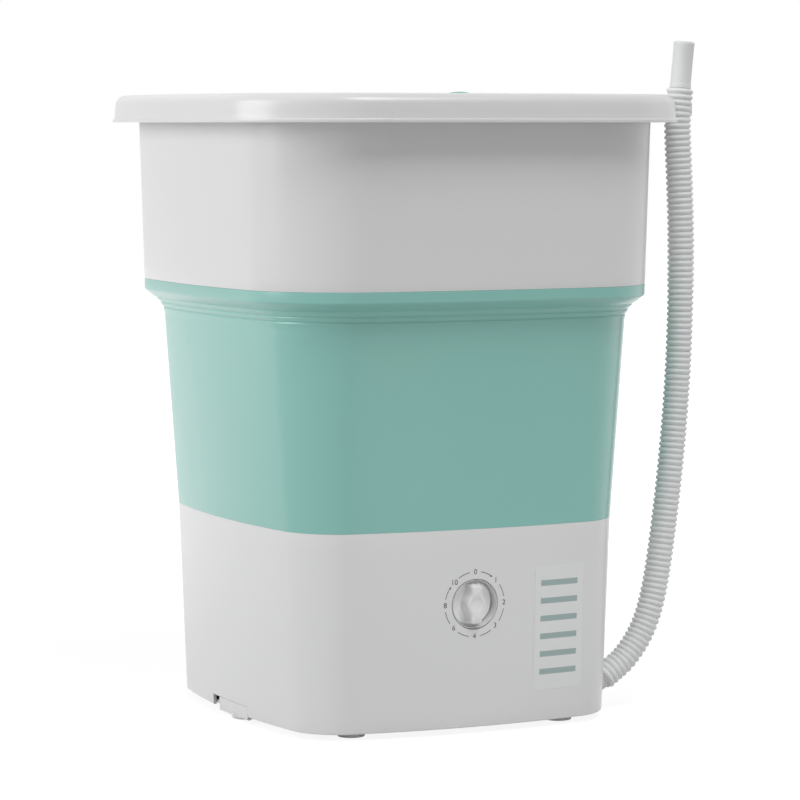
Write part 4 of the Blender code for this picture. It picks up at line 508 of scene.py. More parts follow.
def skinned(name, rings, closed=False, place=None):
    """A skin over rings of points, whose last ring joins the first, or which is capped at both ends."""
    shape = bmesh.new()
    loops = [[shape.verts.new(point) for point in ring] for ring in rings]
    for one, other in zip(loops, loops[1:] + loops[:1] if closed else loops[1:]):
        for i in range(len(one)):
            j = (i + 1) % len(one)
            shape.faces.new((one[i], one[j], other[j], other[i]))
    if not closed:
        shape.faces.new(loops[0])
        shape.faces.new(loops[-1])
    bmesh.ops.recalc_face_normals(shape, faces=shape.faces)
    if place is not None:
        bmesh.ops.transform(shape, matrix=place, verts=shape.verts)
    return object_of(name, shape)


def round_ring(radius, height, cuts):
    return [
        (radius * cos(2 * pi * cut / cuts), radius * sin(2 * pi * cut / cuts), height)
        for cut in range(cuts)
    ]


def filleted(corners, closed=True, cuts=ARC_CUTS):
    """Points of a section whose (half width, height, radius) corners are turned by arcs."""
    points = []
    for i, (across, height, radius) in enumerate(corners):
        here = Vector((across, height))
        if radius == 0 or (not closed and i in (0, len(corners) - 1)):
            points.append(tuple(here))
            continue
        before = Vector(corners[i - 1][:2]) - here
        after = Vector(corners[(i + 1) % len(corners)][:2]) - here
        half_turn = before.angle(after) / 2
        reach = min(radius / tan(half_turn), before.length / 2, after.length / 2)
        radius = reach * tan(half_turn)
        between = (before.normalized() + after.normalized()).normalized()
        middle = here + between * (radius / sin(half_turn))
        start = here + before.normalized() * reach - middle
        sweep = start.angle_signed(here + after.normalized() * reach - middle)
        for step in range(cuts + 1):
            points.append(tuple(middle + Matrix.Rotation(-sweep * step / cuts, 2) @ start))
    return points


def divided(points, longest, closed=True):
    """The same section with extra points, so that no part of it is longer than this."""
    result = []
    ends = points[1:] + points[:1] if closed else points[1:]
    for one, other in zip(points, ends):
        one, other = Vector(one), Vector(other)
        parts = max(1, ceil((other - one).length / longest))
        result += [tuple(one.lerp(other, part / parts)) for part in range(parts)]
    return result if closed else result + [tuple(points[-1])]


def turned(name, profile, cuts=TURN_CUTS, closed=False, place=None):
    """A piece turned on the local Z axis from (radius, height) points."""
    shape = bmesh.new()
    points = profile + profile[:1] if closed else profile
    line = [shape.verts.new((radius, 0, height)) for radius, height in points]
    edges = [shape.edges.new(pair) for pair in zip(line, line[1:])]
    full = 2 * pi
    bmesh.ops.spin(shape, geom=line + edges, axis=(0, 0, 1), cent=(0, 0, 0), angle=full, steps=cuts)
    bmesh.ops.remove_doubles(shape, verts=shape.verts, dist=0.000002)
    bmesh.ops.recalc_face_normals(shape, faces=shape.faces)
    bmesh.ops.transform(shape, matrix=place or Matrix.Identity(4), verts=shape.verts)
    return object_of(name, shape)


def block(name, low, high):
    shape = bmesh.new()
    bmesh.ops.create_cube(shape, size=1)
    low, high = Vector(low), Vector(high)
    bmesh.ops.scale(shape, vec=high - low, verts=shape.verts)
    bmesh.ops.translate(shape, vec=(low + high) / 2, verts=shape.verts)
    return object_of(name, shape)


def rod(name, radius, low, high, place=None, cuts=TURN_CUTS):
    """A round rod on the local Z axis between two heights."""
    shape = bmesh.new()
    middle = (place or Matrix.Identity(4)) @ Matrix.Translation((0, 0, (low + high) / 2))
    bmesh.ops.create_cone(
        shape, cap_ends=True, segments=cuts, radius1=radius, radius2=radius, depth=high - low, matrix=middle
    )
    return object_of(name, shape)


def lying(y, z, x=0):
    """Turns a rod to lie along X at this place."""
    return Matrix.Translation((x, y, z)) @ Matrix.Rotation(pi / 2, 4, "Y")


def facing(place, direction):
    """The matrix that takes Z to this direction at this place."""
    return Matrix.Translation(place) @ direction.to_track_quat("Z", "Y").to_matrix().to_4x4()


def swept(name, points, radius, sides):
    """A round bar along points that lie in one upright plane, closed at both ends."""
    rings = []
    for i, point in enumerate(points):
        along = (points[min(i + 1, len(points) - 1)] - points[max(i - 1, 0)]).normalized()
        place = facing(point, along)
        rings.append([place @ Vector(corner) for corner in round_ring(radius, 0, sides)])
    return skinned(name, rings)


def baked(obj):
    """The object as a plain mesh with its modifiers done and its place in its vertices."""
    bpy.context.view_layer.update()
    graph = bpy.context.evaluated_depsgraph_get()
    mesh = bpy.data.meshes.new_from_object(obj.evaluated_get(graph))
    mesh.transform(obj.matrix_world)
    name = obj.name
    bpy.data.objects.remove(obj)
    return linked(name, mesh)


def shaped(obj, *changes):
    """Cuts others out of an object, joins them to it or keeps what is in them, and uses them up."""
    for operation, other in changes:
        modifier = obj.modifiers.new(operation.title(), "BOOLEAN")
        modifier.object = other
        modifier.operation = operation
        modifier.solver = "EXACT"
    made = baked(obj)
    for _, other in changes:
        bpy.data.objects.remove(other)
    return made


def welded(obj, within=0.000005):
    """Merges an object's doubled vertices and turns its faces outwards."""
    shape = bmesh.new()
    shape.from_mesh(obj.data)
    bmesh.ops.remove_doubles(shape, verts=shape.verts, dist=within)
    bmesh.ops.recalc_face_normals(shape, faces=shape.faces)
    shape.to_mesh(obj.data)
    shape.free()


def dressed(obj, body, look, slot, *nodes, sharp=SHARP_ANGLE, rides=True):
    """Shades and colours a finished piece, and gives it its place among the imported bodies."""
    obj.data.shade_smooth()
    obj.data.set_sharp_from_angle(angle=sharp)
    obj.data.materials.clear()
    obj.data.materials.append(finish(look))
    if rides:
        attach(obj, body)
    if nodes:
        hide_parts(*nodes)


class Tree(Board):
    """A Geometry Nodes tree."""

    def __init__(self, name):
        super().__init__(bpy.data.node_groups.new(name, "GeometryNodeTree"))
        for way in ("INPUT", "OUTPUT"):
            self.tree.interface.new_socket("Geometry", in_out=way, socket_type="NodeSocketGeometry")
        self.start = self.tree.nodes.new("NodeGroupInput")
        self.end = self.tree.nodes.new("NodeGroupOutput")
        self.given = {}

    def given_as(self, name, value, kind="Float"):
        """A named input of the tree with the value that it gets on the modifier."""
        socket = self.tree.interface.new_socket(name, in_out="INPUT", socket_type=f"NodeSocket{kind}")
        self.given[socket.identifier] = value
        return Expression(self, self.start.outputs[name])

    def source(self):
        """The geometry of the object that carries the tree."""
        return Expression(self, self.start.outputs["Geometry"])

    def copies(self, template, **named):
        """Copies of some geometry at each point of the source."""
        points = self.node("GeometryNodeMeshToPoints", Mesh=self.source())
        return self.node("GeometryNodeInstanceOnPoints", Points=points, Instance=template, **named)

    def skin(self, path, profile, **named):
        """The mesh of a profile carried along a path."""
        return self.node("GeometryNodeCurveToMesh", Curve=path, Profile_Curve=profile, **named)

    def ends_in(self, geometry):
        self.feed(self.end.inputs[0], geometry)

    def put_on(self, obj):
        modifier = obj.modifiers.new(self.tree.name, "NODES")
        modifier.node_group = self.tree
        for identifier, value in self.given.items():
            modifier[identifier] = value

    def used_on(self, obj, geometry, look):
        """Ends the tree, runs it on an object and returns the plain mesh that comes out."""
        real = self.node("GeometryNodeRealizeInstances", Geometry=geometry)
        self.ends_in(self.node("GeometryNodeSetMaterial", Geometry=real, Material=finish(look)))
        self.put_on(obj)
        return baked(obj)


def dots(name, places):
    """An object of loose points."""
    mesh = bpy.data.meshes.new(name)
    mesh.from_pydata(places, [], [])
    return linked(name, mesh)


def on_places(name, places, template, look):
    """Copies of a template at each place, as one mesh."""
    tree = Tree(f"{name}_places")
    shape = tree.given_as("Template", template, "Object")
    copies = tree.copies(tree.node("GeometryNodeObjectInfo", "Geometry", Object=shape))
    made = tree.used_on(dots(name, places), copies, look)
    bpy.data.objects.remove(template)
    return made


def dial_place(plan):
    """Where the dial's face is: +Z out of the leaning front wall and +Y up it."""
    sizes = plan.sizes
    lean = atan((sizes.top_half - sizes.foot_half) / (BASE_HIGH - BASE_LOW))
    point = Vector((0, -plan.front_y(plan.base_half(DIAL_Z), 0), DIAL_Z))
    return Matrix.Translation(point) @ Matrix.Rotation(pi / 2 + lean, 4, "X")


def hose_line(samples=24):
    """Close points on one smooth curve through the hose's route."""
    points = [Vector((x, HOSE_Y, z)) for x, z in HOSE_ROUTE]
    ends = [2 * points[0] - points[1]] + points + [2 * points[-1] - points[-2]]
    line = []
    for before, start, end, after in zip(ends, ends[1:], ends[2:], ends[3:]):
        for step in range(samples):
            t = step / samples
            line.append(
                start
                + (end - before) * (t / 2)
                + (2 * before - 5 * start + 4 * end - after) * (t * t / 2)
                + (3 * start - before - 3 * end + after) * (t**3 / 2)
            )
    return line + [points[-1]]


def spout_bend():
    """(x, z) where the spout's bend starts, so that its neck ends square on the hose's face."""
    x, z = HOSE_ROUTE[0]
    across = SPOUT_NECK * cos(SPOUT_TILT) + SPOUT_BEND * sin(SPOUT_TILT)
    up = SPOUT_NECK * sin(SPOUT_TILT) + SPOUT_BEND * (1 - cos(SPOUT_TILT))
    return x - across, z - up


class WASHER_OT_stage(bpy.types.Operator):
    """Sets up the camera, the soft lights, the world and the floor"""

    bl_idname = "washer.stage"
    bl_label = "Studio"

    def execute(self, context):
        scene, studio = context.scene, context.scene.washer_studio
        turn = studio.azimuth
        ahead = Vector((-sin(turn), cos(turn), 0))
        right = Vector((cos(turn), sin(turn), 0))
        data = bpy.data.cameras.new("Camera")
        data.lens = studio.lens
        data.sensor_width = 36
        data.clip_start = 0.05
        camera = linked("Camera", data)
        camera.location = -ahead * studio.distance + Vector((0, 0, studio.height))
        aim = ahead + right * (studio.off_axis / studio.distance) - Vector((0, 0, tan(studio.pitch)))
        camera.rotation_euler = aim.to_track_quat("-Z", "Y").to_euler()
        scene.camera = camera
        scene.view_settings.view_transform = "Standard"

        for name, place, aim_height, size, share, spread in (
            ("Key", (-2.25, 0.25, 1.1), 0.2, 1.5, 1, 180),
            ("Overhead", (0.2, -1.45, 2.6), 0.2, 1.3, studio.overhead, 180),
            ("Floor bounce", (0.1, -0.9, 0.04), 0.05, 0.3, studio.bounce, 46),
            ("Right fill", (2.3, -0.1, 1.0), 0.2, 1.0, studio.aside, 180),
            ("Back fill", (0.9, 2.3, 1.3), 0.2, 1.4, studio.behind, 180),
            ("Sheen", (-1.9, 1.5, 0.35), 0.2, 1.5, studio.sheen, 180),
        ):
            lamp = bpy.data.lights.new(name, "AREA")
            lamp.shape = "DISK"
            lamp.size = size
            lamp.energy = studio.key * share
            lamp.spread = radians(spread)
            light = linked(name, lamp)
            light.location = place
            light.visible_camera = False
            light.visible_glossy = name not in ("Floor bounce", "Back fill")
            light.visible_diffuse = name != "Sheen"
            aim = Vector((0, 0, aim_height)) - Vector(place)
            light.rotation_euler = aim.to_track_quat("-Z", "Y").to_euler()

        world = bpy.data.worlds.new("Studio")
        scene.world = world
        world.use_nodes = True
        sky = Board(world.node_tree)
        backdrop = world.node_tree.nodes["Background"].inputs
        backdrop["Color"].default_value = (1, 1, 1, 1)
        sky.feed(backdrop["Strength"], studio.ambient + seen_directly(sky) * (1 - studio.ambient))

        shape = bmesh.new()
        bmesh.ops.create_grid(shape, x_segments=1, y_segments=1, size=6)
        bmesh.ops.translate(shape, vec=(0, 0, -SEAT_GAP), verts=shape.verts)
        floor = object_of("studio_floor", shape)
        floor.data.materials.append(floor_finish(studio.floor_blend))
        return {"FINISHED"}


def seen_directly(board):
    """1 on the rays that see a surface straight, in a reflection or through glass, and 0 on the others."""
    rays = board.tree.nodes.new("ShaderNodeLightPath").outputs
    names = ("Is Camera Ray", "Is Glossy Ray", "Is Transmission Ray")
    camera, glossy, through = (Expression(board, rays[name]) for name in names)
    return (camera + glossy + through).clamped()


def floor_finish(blend):
    """A pale floor that looks white and keeps a soft shadow."""
    look = Look("studio floor", 0.9)
    look.inputs["Base Color"].default_value = (0.65, 0.65, 0.65, 1)
    look.inputs["Specular IOR Level"].default_value = 0
    glow = look.node("ShaderNodeEmission", Color=(1, 1, 1, 1), Strength=1.27)
    away = look.node("ShaderNodeVectorMath", "Value", {"operation": "LENGTH"}, {0: look.place})
    share = seen_directly(look) * (((away - 0.45) * 1.6).clamped() * (1 - blend) + blend)
    shown = Expression(look, look.tree.nodes["Principled BSDF"].outputs["BSDF"])
    mix = look.node("ShaderNodeMixShader", inputs={0: share, 1: shown, 2: glow})
    look.feed(look.tree.nodes["Material Output"].inputs["Surface"], mix)
    return look.material


class WASHER_OT_drain_hose(bpy.types.Operator):
    """Builds the ribbed drain hose along its route, and its plain cuff"""

    bl_idname = "washer.drain_hose"
    bl_label = "Drain Hose"

    def execute(self, context):
        sizes = context.scene.washer_hose
        line = hose_line()
        length = sum((other - one).length for one, other in zip(line, line[1:]))
        curve = bpy.data.curves.new("ribbed_hose", "CURVE")
        curve.dimensions = "3D"
        spline = curve.splines.new("POLY")
        spline.points.add(len(line) - 1)
        for point, place in zip(spline.points, line):
            point.co = (*place, 1)

        tree = Tree("ribs_on_a_path")
        ridge = tree.given_as("Ridge radius", sizes.ridge)
        valley = tree.given_as("Valley radius", sizes.valley)
        count = tree.given_as("Ribs", round(length / sizes.pitch), "Int")
        sides = tree.given_as("Sides", sizes.sides, "Int")
        path = tree.node("GeometryNodeResampleCurve", Curve=tree.source(), Count=count * 8 + 1)
        along = tree.node("GeometryNodeSplineParameter", "Factor")
        wave = along.maths("COSINE", along * (count * (2 * pi)))
        swell = wave.maths("POWER", 0.5 - wave * 0.5, 0.5)
        radius = valley + swell * (ridge - valley)
        circle = tree.node("GeometryNodeCurvePrimitiveCircle", Resolution=sides, Radius=1.0)
        tube = tree.skin(path, circle, Scale=radius, Fill_Caps=True)
        hose = tree.used_on(linked("ribbed_hose", curve), tube, "hose plastic")
        welded(hose)

        ahead = (line[-1] - line[-2]).normalized()
        bore_line = [line[0] - (line[1] - line[0]).normalized() * OVERRUN, *line[::12], line[-1]]
        bore_line.append(line[-1] + ahead * OVERRUN)
        hose = shaped(hose, (CUT, swept("hose_bore", bore_line, HOSE_BORE, BORE_CUTS)))
        dressed(hose, "base", "hose plastic", "hose_white", "drain_hose", sharp=ROUND_ANGLE)

        radius, tall, bore = sizes.cuff_radius, sizes.cuff_length, CUFF_BORE
        waist, band = radius - 0.0003, radius - 0.0001
        profile = [(bore, 0), (radius - 0.0004, 0), (radius, 0.0004), (radius, 0.0030), (waist, 0.0034)]
        profile += [(waist, tall - 0.0030), (band, tall - 0.0024), (band, tall - 0.0008)]
        profile += [(radius - 0.0005, tall - 0.0002), (radius - 0.0009, tall)]
        profile += [(bore + 0.0003, tall), (bore, tall - 0.0004)]
        cuff = turned("hose_end_cuff", profile, closed=True, place=facing(line[-1] + ahead * SEAT_GAP, ahead))
        dressed(cuff, "base", "hose plastic", "hose_white", "hose_cuff")
        [tuple(point) for point in line[::8]] + [tuple(line[-1])]
        return {"FINISHED"}


class WASHER_OT_rim(bpy.types.Operator):
    """Builds the skirted rim with its rounded top, its bead and the ledge under the lid"""

    bl_idname = "washer.rim"
    bl_label = "Rim"

    def execute(self, context):
        plan = Plan(context)
        mouth, ledge, under = plan.mouth_half(), RIM_HIGH - LID_SINK, RIM_HIGH - RIM_WALL
        bead = plan.sizes.rim_half
        skirt, top = bead - 0.0012, bead - 0.0028
        lip, outside, foot = mouth - LEDGE_LIP, mouth + RIM_WALL, ledge - RIM_WALL
        section = [(bead, RIM_LOW, 0.0005), (bead, RIM_LOW + 0.0024, EDGE)]
        section += [(skirt, RIM_LOW + 0.0028, FINE_EDGE), (top, RIM_HIGH, 0.0085)]
        section += [(mouth, RIM_HIGH, 0.0013), (mouth, ledge, 0.0006)]
        section += [(lip, ledge, 0.0005), (lip, foot, 0.0005), (outside, foot, 0), (outside, under, 0.0005)]
        section += [(top - RIM_WALL, under, 0.0059), (skirt - RIM_WALL, RIM_LOW, EDGE)]
        rim = plan.loft("rim_skirted", divided(filleted(section), 0.006))
        dressed(rim, "hoop", "white casing", "white_gloss", "rim")
        return {"FINISHED"}


class WASHER_OT_hoop(bpy.types.Operator):
    """Builds the white hoop that carries the rim, and the ring that clamps the rubber in it"""

    bl_idname = "washer.hoop"
    bl_label = "Upper Hoop"

    def execute(self, context):
        plan = Plan(context)
        foot, top = plan.sizes.hoop_low_half, RIM_HIGH - RIM_WALL - SEAT_GAP
        head = plan.hoop_half(top)
        section = [(foot, HOOP_LOW, 0.00025), (head, top, EDGE), (head - HOOP_WALL, top, EDGE)]
        section.append((foot - HOOP_WALL, HOOP_LOW, EDGE))
        hoop = plan.loft("upper_hoop", divided(filleted(section, cuts=3), 0.010))
        dressed(hoop, "hoop", "white casing", "white_gloss", "hoop")

        outer, low = foot - HOOP_WALL - BELLOWS_WALL - 2 * SEAT_GAP, HOOP_LOW - 0.002
        inner, under = outer - CLAMP_WALL, TUCK_TOP + SEAT_GAP
        cap = plan.hoop_half(under) - HOOP_WALL - SEAT_GAP
        section = [(outer, low, 0), (outer, under, 0), (cap, under, 0), (cap, under + CLAMP_WALL, 0.0006)]
        section += [(inner, under + CLAMP_WALL, 0.001), (inner, low, 0.0006)]
        clamp = plan.loft("bellows_clamp", filleted(section, cuts=3))
        dressed(clamp, "hoop", "white inner", "white_matt", "clamp_ring")
        return {"FINISHED"}


class WASHER_OT_bellows(bpy.types.Operator):
    """Builds the soft teal wall with its band, cove and fold lines, as one fixed shape that does not fold
    with the hoop
    """

    bl_idname = "washer.bellows"
    bl_label = "Folding Wall"

    def execute(self, context):
        plan = Plan(context)
        sizes, band, radius = plan.sizes, plan.sizes.hoop_low_half, plan.sizes.cove_radius
        low, shoulder, band_low = BASE_HIGH + SEAM, HOOP_LOW - SEAM, HOOP_LOW - BAND_HEIGHT
        slope = atan2(BAND_DROP, BAND_STEP)
        across = band - BAND_STEP + radius * sin(slope)
        up = band_low - BAND_DROP - radius * cos(slope)
        cove = []
        for step in range(COVE_CUTS + 1):
            turn = pi / 2 + slope + (pi / 2 - slope) * (1 - step / COVE_CUTS)
            cove.append((across + radius * cos(turn), up + radius * sin(turn)))
        wall = divided([(sizes.top_half, low), cove[0]], 0.005, closed=False)[:-1]
        line = wall + divided(cove, 0.0005, closed=False)
        creased = []
        for half, height in line:
            offsets = [(height - band_low + drop) / CREASE_SPREAD for drop in CREASE_DROPS]
            dent = sum(exp(-(offset**2)) for offset in offsets)
            creased.append((half - sizes.crease_depth * dent, height))
        tuck = band - HOOP_WALL - SEAT_GAP
        edges = [(*cove[-1], 0), (band, band_low, 0.0022), (band, shoulder, 0.0002)]
        edges += [(tuck, shoulder, 0), (tuck, TUCK_TOP, 0)]
        inner = []
        for i, (half, height) in enumerate(line):
            before, after = Vector(line[max(i - 1, 0)]), Vector(line[min(i + 1, len(line) - 1)])
            out = Vector((after.y - before.y, before.x - after.x)).normalized()
            inner.append((half - BELLOWS_WALL * out.x, max(low, height - BELLOWS_WALL * out.y)))
        inner[0] = (sizes.top_half - BELLOWS_WALL, low)
        inside = [(tuck - BELLOWS_WALL, TUCK_TOP), (tuck - BELLOWS_WALL, band_low), *inner[::-1]]
        wall = plan.loft("teal_folding_wall", creased + filleted(edges, closed=False)[1:] + inside)
        dressed(wall, "hoop", "teal wall", "teal_soft", "bellows", rides=False)
        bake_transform(wall)
        return {"FINISHED"}


class WASHER_OT_base(bpy.types.Operator):
    """Builds the base shell with its dial hole, spout hole and cord bay, and the snap-in cover"""

    bl_idname = "washer.base"
    bl_label = "Base"

    def execute(self, context):
        plan = Plan(context)
        foot, top, under = plan.sizes.foot_half, plan.sizes.top_half, LEDGE_TOP - 0.0075
        inner = plan.base_half(LEDGE_TOP) - BASE_WALL
        ledge = inner - LEDGE_REACH
        section = [(foot, BASE_LOW, 0.0035), (top, BASE_HIGH, FINE_EDGE), (top - BASE_WALL, BASE_HIGH, EDGE)]
        section += [(inner, LEDGE_TOP, 0), (ledge, LEDGE_TOP, EDGE), (ledge, LEDGE_TOP - 0.003, 0)]
        section += [(plan.base_half(under) - BASE_WALL, under, 0), (foot - BASE_WALL, BASE_LOW, EDGE)]
        spout_z, reach = spout_bend()[1], top + plan.sizes.side_bow + OVERRUN
        spout_way = lying(HOSE_Y, spout_z, plan.side_x(plan.base_half(spout_z), HOSE_Y))
        shell = shaped(
            plan.loft("base_casing", divided(filleted(section), 0.012)),
            (CUT, rod("dial_hole", WELL_RADIUS + SEAT_GAP, -0.012, 0.012, dial_place(plan))),
            (CUT, rod("spout_hole", SPOUT_RADIUS + RUN_GAP, -0.012, 0.012, spout_way)),
            (CUT, block("cord_bay", (-reach, BAY_FRONT, -OVERRUN), (-foot, BAY_BACK, BAY_TOP))),
        )
        dressed(shell, "base", "white casing", "white_gloss", "base_shell")

        low, high = BASE_LOW - 0.0023, BAY_TOP - SEAT_GAP
        section = [(plan.base_half(low), low, 0.0008), (plan.base_half(high), high, FINE_EDGE)]
        section += [(half - BASE_WALL, height, FINE_EDGE) for half, height, _ in reversed(section)]
        window_low = (-reach, BAY_FRONT + SEAT_GAP, low - OVERRUN)
        tall, stand = BOTTOM_COVER_LOW - SEAT_GAP, (-foot - COVER_FOOT_OUT, COVER_FOOT_Y, 0)
        profile = [(0, 0), (0.0106, 0), (0.0113, 0.0003), (0.0116, 0.0010), (0.0116, tall), (0, tall)]
        cover = shaped(
            plan.loft("cord_bay_cover", filleted(section, cuts=3)),
            (KEEP, block("cover_window", window_low, (-foot, COVER_BACK, high + OVERRUN))),
            (JOIN, turned("cover_foot", profile, place=Matrix.Translation(stand))),
        )
        dressed(cover, "base", "white casing", "white_gloss", "side_cover")
        return {"FINISHED"}


class WASHER_OT_feet(bpy.types.Operator):
    """Builds the four rubber feet and the four screws of the bottom cover"""

    bl_idname = "washer.feet"
    bl_label = "Feet and Cover Screws"

    def execute(self, context):
        plan = Plan(context)
        top, stud = BOTTOM_COVER_LOW - SEAT_GAP, BOTTOM_COVER_HIGH + SEAT_GAP
        end = BOTTOM_COVER_HIGH + 0.004
        profile = [(0, 0.0006)]
        for ridge in (0.0035, 0.0062, 0.0089):
            profile += [(ridge - 0.0008, 0.0006), (ridge - 0.0006, 0)]
            profile += [(ridge + 0.0008, 0), (ridge + 0.0010, 0.0006)]
        profile[-1:] = [(0.0100, 0), (0.0104, 0.0004), (0.0110, top - 0.0004), (0.0107, top)]
        profile += [(0.0034, top), (0.0034, stud), (0.00204, end), (0, end)]
        places = [(x, y, 0) for x in (FOOT_X, -FOOT_X) for y in (FOOT_Y, -FOOT_Y)]
        foot = turned("foot_template", profile, SMALL_TURN_CUTS)
        feet = on_places("rubber_feet", places, foot, "foot rubber")
        dressed(feet, "base", "foot rubber", "foot_grey", "foot_1", "foot_2", "foot_3", "foot_4")

        profile = [(0, 0.018), (0.0006, 0.018), (0.0016, 0.0165), (0.0016, 0), (0.0034, 0)]
        profile += [(0.0034, -0.0008), (0.0030, -0.0016), (0.0020, -0.0020), (0, -0.0020)]
        slots = [
            (CUT, block("recess", (-long, -wide, -0.003), (long, wide, -0.0011)))
            for long, wide in ((0.0019, 0.0004), (0.0004, 0.0019))
        ]
        screw = shaped(turned("screw_template", profile, BORE_CUTS), *slots)
        pillar_x = plan.side_x(plan.base_half(BOTTOM_COVER_HIGH) - BASE_WALL, PILLAR_Y) - 0.0085
        places = [(x, y, top) for x in (pillar_x, -pillar_x) for y in (PILLAR_Y, -PILLAR_Y)]
        screws = on_places("cover_screws", places, screw, "bright steel")
        nodes = [f"bottom_screw_{count}" for count in range(1, 5)]
        dressed(screws, "base", "bright steel", "steel", *nodes)
        return {"FINISHED"}


class WASHER_OT_dial(bpy.types.Operator):
    """Builds the sunk well, the timer knob with its grip, and the numbers and arcs printed round it"""

    bl_idname = "washer.dial"
    bl_label = "Timer Dial"

    def execute(self, context):
        plan = Plan(context)
        sizes, place = plan.sizes, dial_place(plan)
        inner, collar, hole = WELL_RADIUS - WELL_WALL, WELL_RADIUS - WELL_GROOVE, 0.003 + RUN_GAP
        floor, back = -WELL_DEPTH, -WELL_DEPTH - WELL_WALL
        profile = [(inner, -0.0002), (collar, 0), (collar, -0.0016), (WELL_RADIUS, -0.0019)]
        profile += [(WELL_RADIUS, back), (hole, back), (hole, floor), (inner - 0.0012, floor)]
        profile += [(inner - 0.0003, floor + 0.0004), (inner, floor + 0.0014)]
        well = turned("dial_well", profile, closed=True, place=place)
        dressed(well, "base", "white casing", "white_gloss", "dial_cup")
        knob = knob_shape(sizes.knob_radius, place)
        dressed(knob, "knob", "white knob", "white_gloss", "timer_knob")

        words = ("0", "1", "2", "3", "4", "6", "8", "10")
        marks = [self.number(word, count, sizes) for count, word in enumerate(words)]
        marks.append(self.arcs(sizes))
        marks += [self.arrow(radians(turn), sizes) for turn in (33, 303)]
        for mark in marks:
            printed(mark, plan, place)
        with context.temp_override(active_object=marks[0], selected_editable_objects=marks):
            bpy.ops.object.join()
        marks[0].name = "dial_marks"
        dressed(marks[0], "base", "dial ink", "black_rubber")
        return {"FINISHED"}

    def number(self, word, count, sizes):
        """One number on the ring, upright on the wall."""
        text = bpy.data.curves.new(f"number_{word}", "FONT")
        text.body = word
        text.size = sizes.digit_height * 1.35
        text.align_x = text.align_y = "CENTER"
        obj = linked(text.name, text)
        turn = count * pi / 4
        obj.location = (sizes.mark_radius * sin(turn), sizes.mark_radius * cos(turn), 0)
        return baked(obj)

    def arcs(self, sizes):
        """Eight thin arcs between the numbers."""
        tree = Tree("arcs_round_a_dial")
        radius = tree.given_as("Radius", sizes.mark_radius)
        width = tree.given_as("Line width", 0.00046)
        arc = tree.node(
            "GeometryNodeCurveArc",
            settings={"mode": "RADIUS"},
            Resolution=14,
            Radius=radius,
            Start_Angle=radians(56),
            Sweep_Angle=radians(23),
        )
        way = {"mode": "DIRECTION"}
        flat = tree.node("GeometryNodeCurvePrimitiveLine", 0, way, Direction=(1, 0, 0), Length=width)
        spin = tree.node("ShaderNodeCombineXYZ", Z=tree.node("GeometryNodeInputIndex") * (pi / 4))
        copies = tree.copies(tree.skin(arc, flat), Rotation=spin)
        return tree.used_on(dots("dial_arcs", [(0, 0, 0)] * 8), copies, "dial ink")

    def arrow(self, turn, sizes):
        """A small arrowhead on one arc, pointing clockwise."""
        shape = bmesh.new()
        corners = [(0.0011, 0, 0), (-0.0009, 0.0008, 0), (-0.0009, -0.0008, 0)]
        shape.faces.new([shape.verts.new(corner) for corner in corners])
        at = Matrix.Rotation(-turn, 4, "Z") @ Matrix.Translation((0, sizes.mark_radius, 0))
        bmesh.ops.transform(shape, matrix=at, verts=shape.verts)
        return object_of("dial_arrow", shape)


def printed(obj, plan, place):
    """Lays a flat mark, drawn in the dial's own plane, on the bowed and leaning front wall."""
    shape = bmesh.new()
    shape.from_mesh(obj.data)
    bmesh.ops.transform(shape, matrix=place, verts=shape.verts)
    for vertex in shape.verts:
        vertex.co.y = -plan.front_y(plan.base_half(vertex.co.z), vertex.co.x) - PRINT_LIFT
    for face in shape.faces:
        face.normal_update()
        if face.normal.y > 0:
            face.normal_flip()
    shape.to_mesh(obj.data)
    shape.free()


def knob_shape(disc, place):
    """The knob: a flat disc in the well, a round hub and a grip bar whose outlines run into each other."""
    hub, half_wide, half_long, corner, soft, cuts = 0.0086, 0.0048, 0.0158, 0.0022, 0.0035, 96

    def outside(x, y):
        """Distance to the softened join of the hub and the bar, negative inside."""
        to_hub = hypot(x, y) - hub
        across, along = abs(x) - half_wide + corner, abs(y) - half_long + corner
        to_bar = hypot(max(across, 0), max(along, 0)) + min(max(across, along), 0) - corner
        blend = max(soft - abs(to_hub - to_bar), 0) / soft
        return min(to_hub, to_bar) - blend * blend * soft / 4

    outline = []
    for x, y, _ in round_ring(1, 0, cuts):
        near, far = 0.0, 0.02
        for _ in range(24):
            middle = (near + far) / 2
            if outside(middle * x, middle * y) < 0:
                near = middle
            else:
                far = middle
        outline.append((x, y, near))
    floor, top, draft = -WELL_DEPTH + SEAT_GAP, 0.0040, 0.0012
    skirt = floor + 0.0022
    disc_steps = ((disc - 0.0003, floor), (disc, floor + 0.0003))
    disc_steps += ((disc, skirt - 0.0007), (disc - 0.0007, skirt))
    grip_steps = ((0.0005, skirt), (0.0002, skirt + 0.0003), (0, skirt + 0.0010))
    grip_steps += ((-draft, top - 0.0010), (-draft - 0.0003, top - 0.0004), (-draft - 0.0009, top))
    dish_steps = ((0.0052, top), (0.0049, top - 0.0002), (0.0040, top - 0.0006), (0.0022, top - 0.0008))
    rings = [round_ring(radius, height, cuts) for radius, height in disc_steps]
    for out, height in grip_steps:
        spokes = [(x, y, min(reach + out, disc - 0.0008)) for x, y, reach in outline]
        rings.append([(x * reach, y * reach, height) for x, y, reach in spokes])
    rings += [round_ring(radius, height, cuts) for radius, height in dish_steps]
    return skinned("knob_disc_and_grip", rings, place=place)


